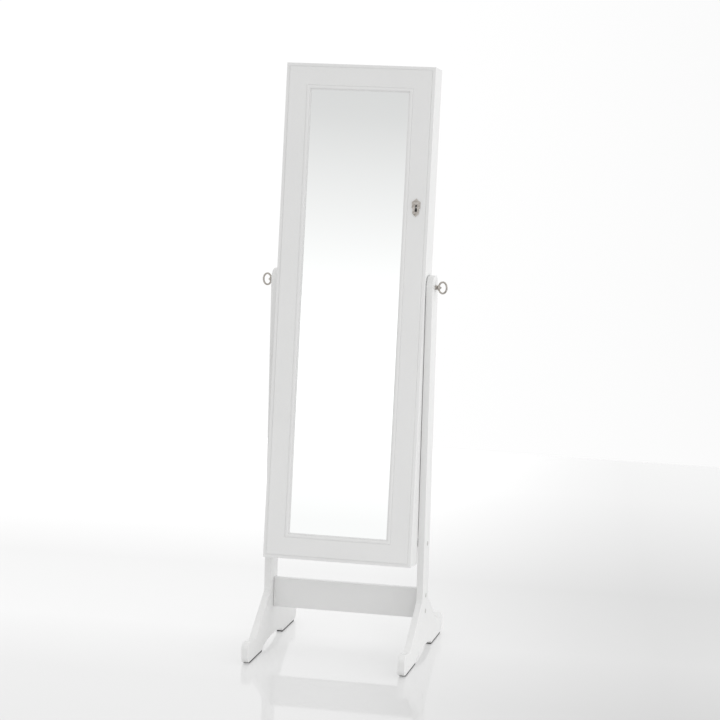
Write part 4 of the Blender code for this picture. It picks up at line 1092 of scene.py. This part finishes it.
def make_studio_light():
    """A white studio all round: bright behind and low down, dimmer above the camera."""
    world = bpy.data.worlds.new("white_studio")
    bpy.context.scene.world = world
    world.use_nodes = True
    tree = world.node_tree
    background = tree.nodes["Background"]
    coordinates = add_node(tree, "ShaderNodeTexCoord")
    split = add_node(tree, "ShaderNodeSeparateXYZ")
    link(tree, coordinates.outputs["Generated"], split.inputs["Vector"])

    height = add_node(tree, "ShaderNodeMapRange")
    height.inputs["From Min"].default_value = LOWEST
    height.inputs["From Max"].default_value = LOWEST + 1.0
    link(tree, split.outputs["Z"], height.inputs["Value"])
    stops = [(rise - LOWEST, (grey, grey, grey)) for rise, grey in FRONT_GREYS]
    front = ramp_of(tree, height.outputs["Result"], stops)

    depth = add_node(tree, "ShaderNodeMapRange", interpolation_type="SMOOTHSTEP")
    depth.inputs["From Min"].default_value = 0.25
    depth.inputs["From Max"].default_value = -0.35
    link(tree, split.outputs["Y"], depth.inputs["Value"])

    right = ramp_over(tree, split.outputs["X"], -1.0, 1.0, BACK_GREYS)

    above = add_node(tree, "ShaderNodeMapRange", interpolation_type="SMOOTHSTEP")
    above.inputs["From Min"].default_value = 0.30
    above.inputs["From Max"].default_value = 0.75
    above.inputs["To Min"].default_value = 1.0
    above.inputs["To Max"].default_value = 1.14
    link(tree, split.outputs["Z"], above.inputs["Value"])
    behind = add_node(tree, "ShaderNodeMath", operation="MULTIPLY")
    link(tree, right, behind.inputs[0])
    link(tree, above.outputs["Result"], behind.inputs[1])

    mix = add_node(tree, "ShaderNodeMix", data_type="RGBA")
    link(tree, depth.outputs["Result"], mix.inputs["Factor"])
    link(tree, behind.outputs[0], mix.inputs[6])
    link(tree, front, mix.inputs[7])
    link(tree, mix.outputs[2], background.inputs["Color"])
    background.inputs["Strength"].default_value = 1.0
    bpy.context.scene.view_settings.view_transform = "Standard"
    add_softbox("front_softbox", (0.3, -2.6, 0.45), (0.0, 0.0, 0.45), (2.4, 0.6), 7.0)
    add_softbox("side_softbox", (2.4, -0.5, 0.45), (0.0, -0.1, 0.45), (2.0, 0.7), 13.0)


def add_softbox(name, place, target, size, energy):
    """A low rectangular softbox that lifts the painted faces but doesn't show in the glass."""
    data = bpy.data.lights.new(name, "AREA")
    data.shape = "RECTANGLE"
    data.size, data.size_y = size
    data.energy = energy
    softbox = bpy.data.objects.new(name, data)
    bpy.context.scene.collection.objects.link(softbox)
    softbox.matrix_world = facing(place, Vector(place) - Vector(target))
    softbox.visible_camera = False
    softbox.visible_glossy = False


CAMERA_PLACE = Vector((1.3262, -5.9824, 1.6002))
CAMERA_YAW = radians(12.322)
CAMERA_PITCH = radians(-8.070)
CAMERA_ROLL = radians(1.609)
CAMERA_LENS = 124.93


def make_camera():
    data = bpy.data.cameras.new("camera")
    data.lens = CAMERA_LENS
    data.clip_end = 200.0
    camera = bpy.data.objects.new("camera", data)
    bpy.context.scene.collection.objects.link(camera)
    forward = cos(CAMERA_PITCH)
    ahead = Vector((-sin(CAMERA_YAW) * forward, cos(CAMERA_YAW) * forward, sin(CAMERA_PITCH)))
    level = Vector((cos(CAMERA_YAW), sin(CAMERA_YAW), 0.0))
    up = level.cross(ahead)
    right = level * cos(CAMERA_ROLL) + up * sin(CAMERA_ROLL)
    top = up * cos(CAMERA_ROLL) - level * sin(CAMERA_ROLL)
    turn = Matrix((right, top, -ahead)).transposed()
    camera.matrix_world = Matrix.Translation(CAMERA_PLACE) @ turn.to_4x4()
    bpy.context.scene.camera = camera


# ---------------------------------------------------------------- everything

dress_nodes()
for side, name in SIDES:
    make_side_frame(side, name)
    make_caps(side, name)
    make_ring_bolt(side, name)
make_door_frame()
make_escutcheon()
make_door_back_fittings()
make_hinge_screws()
make_back_screws()
make_hooks()
make_lining()
make_ring_rolls()
make_catch_poles()
make_floor()
make_studio_light()
make_camera()
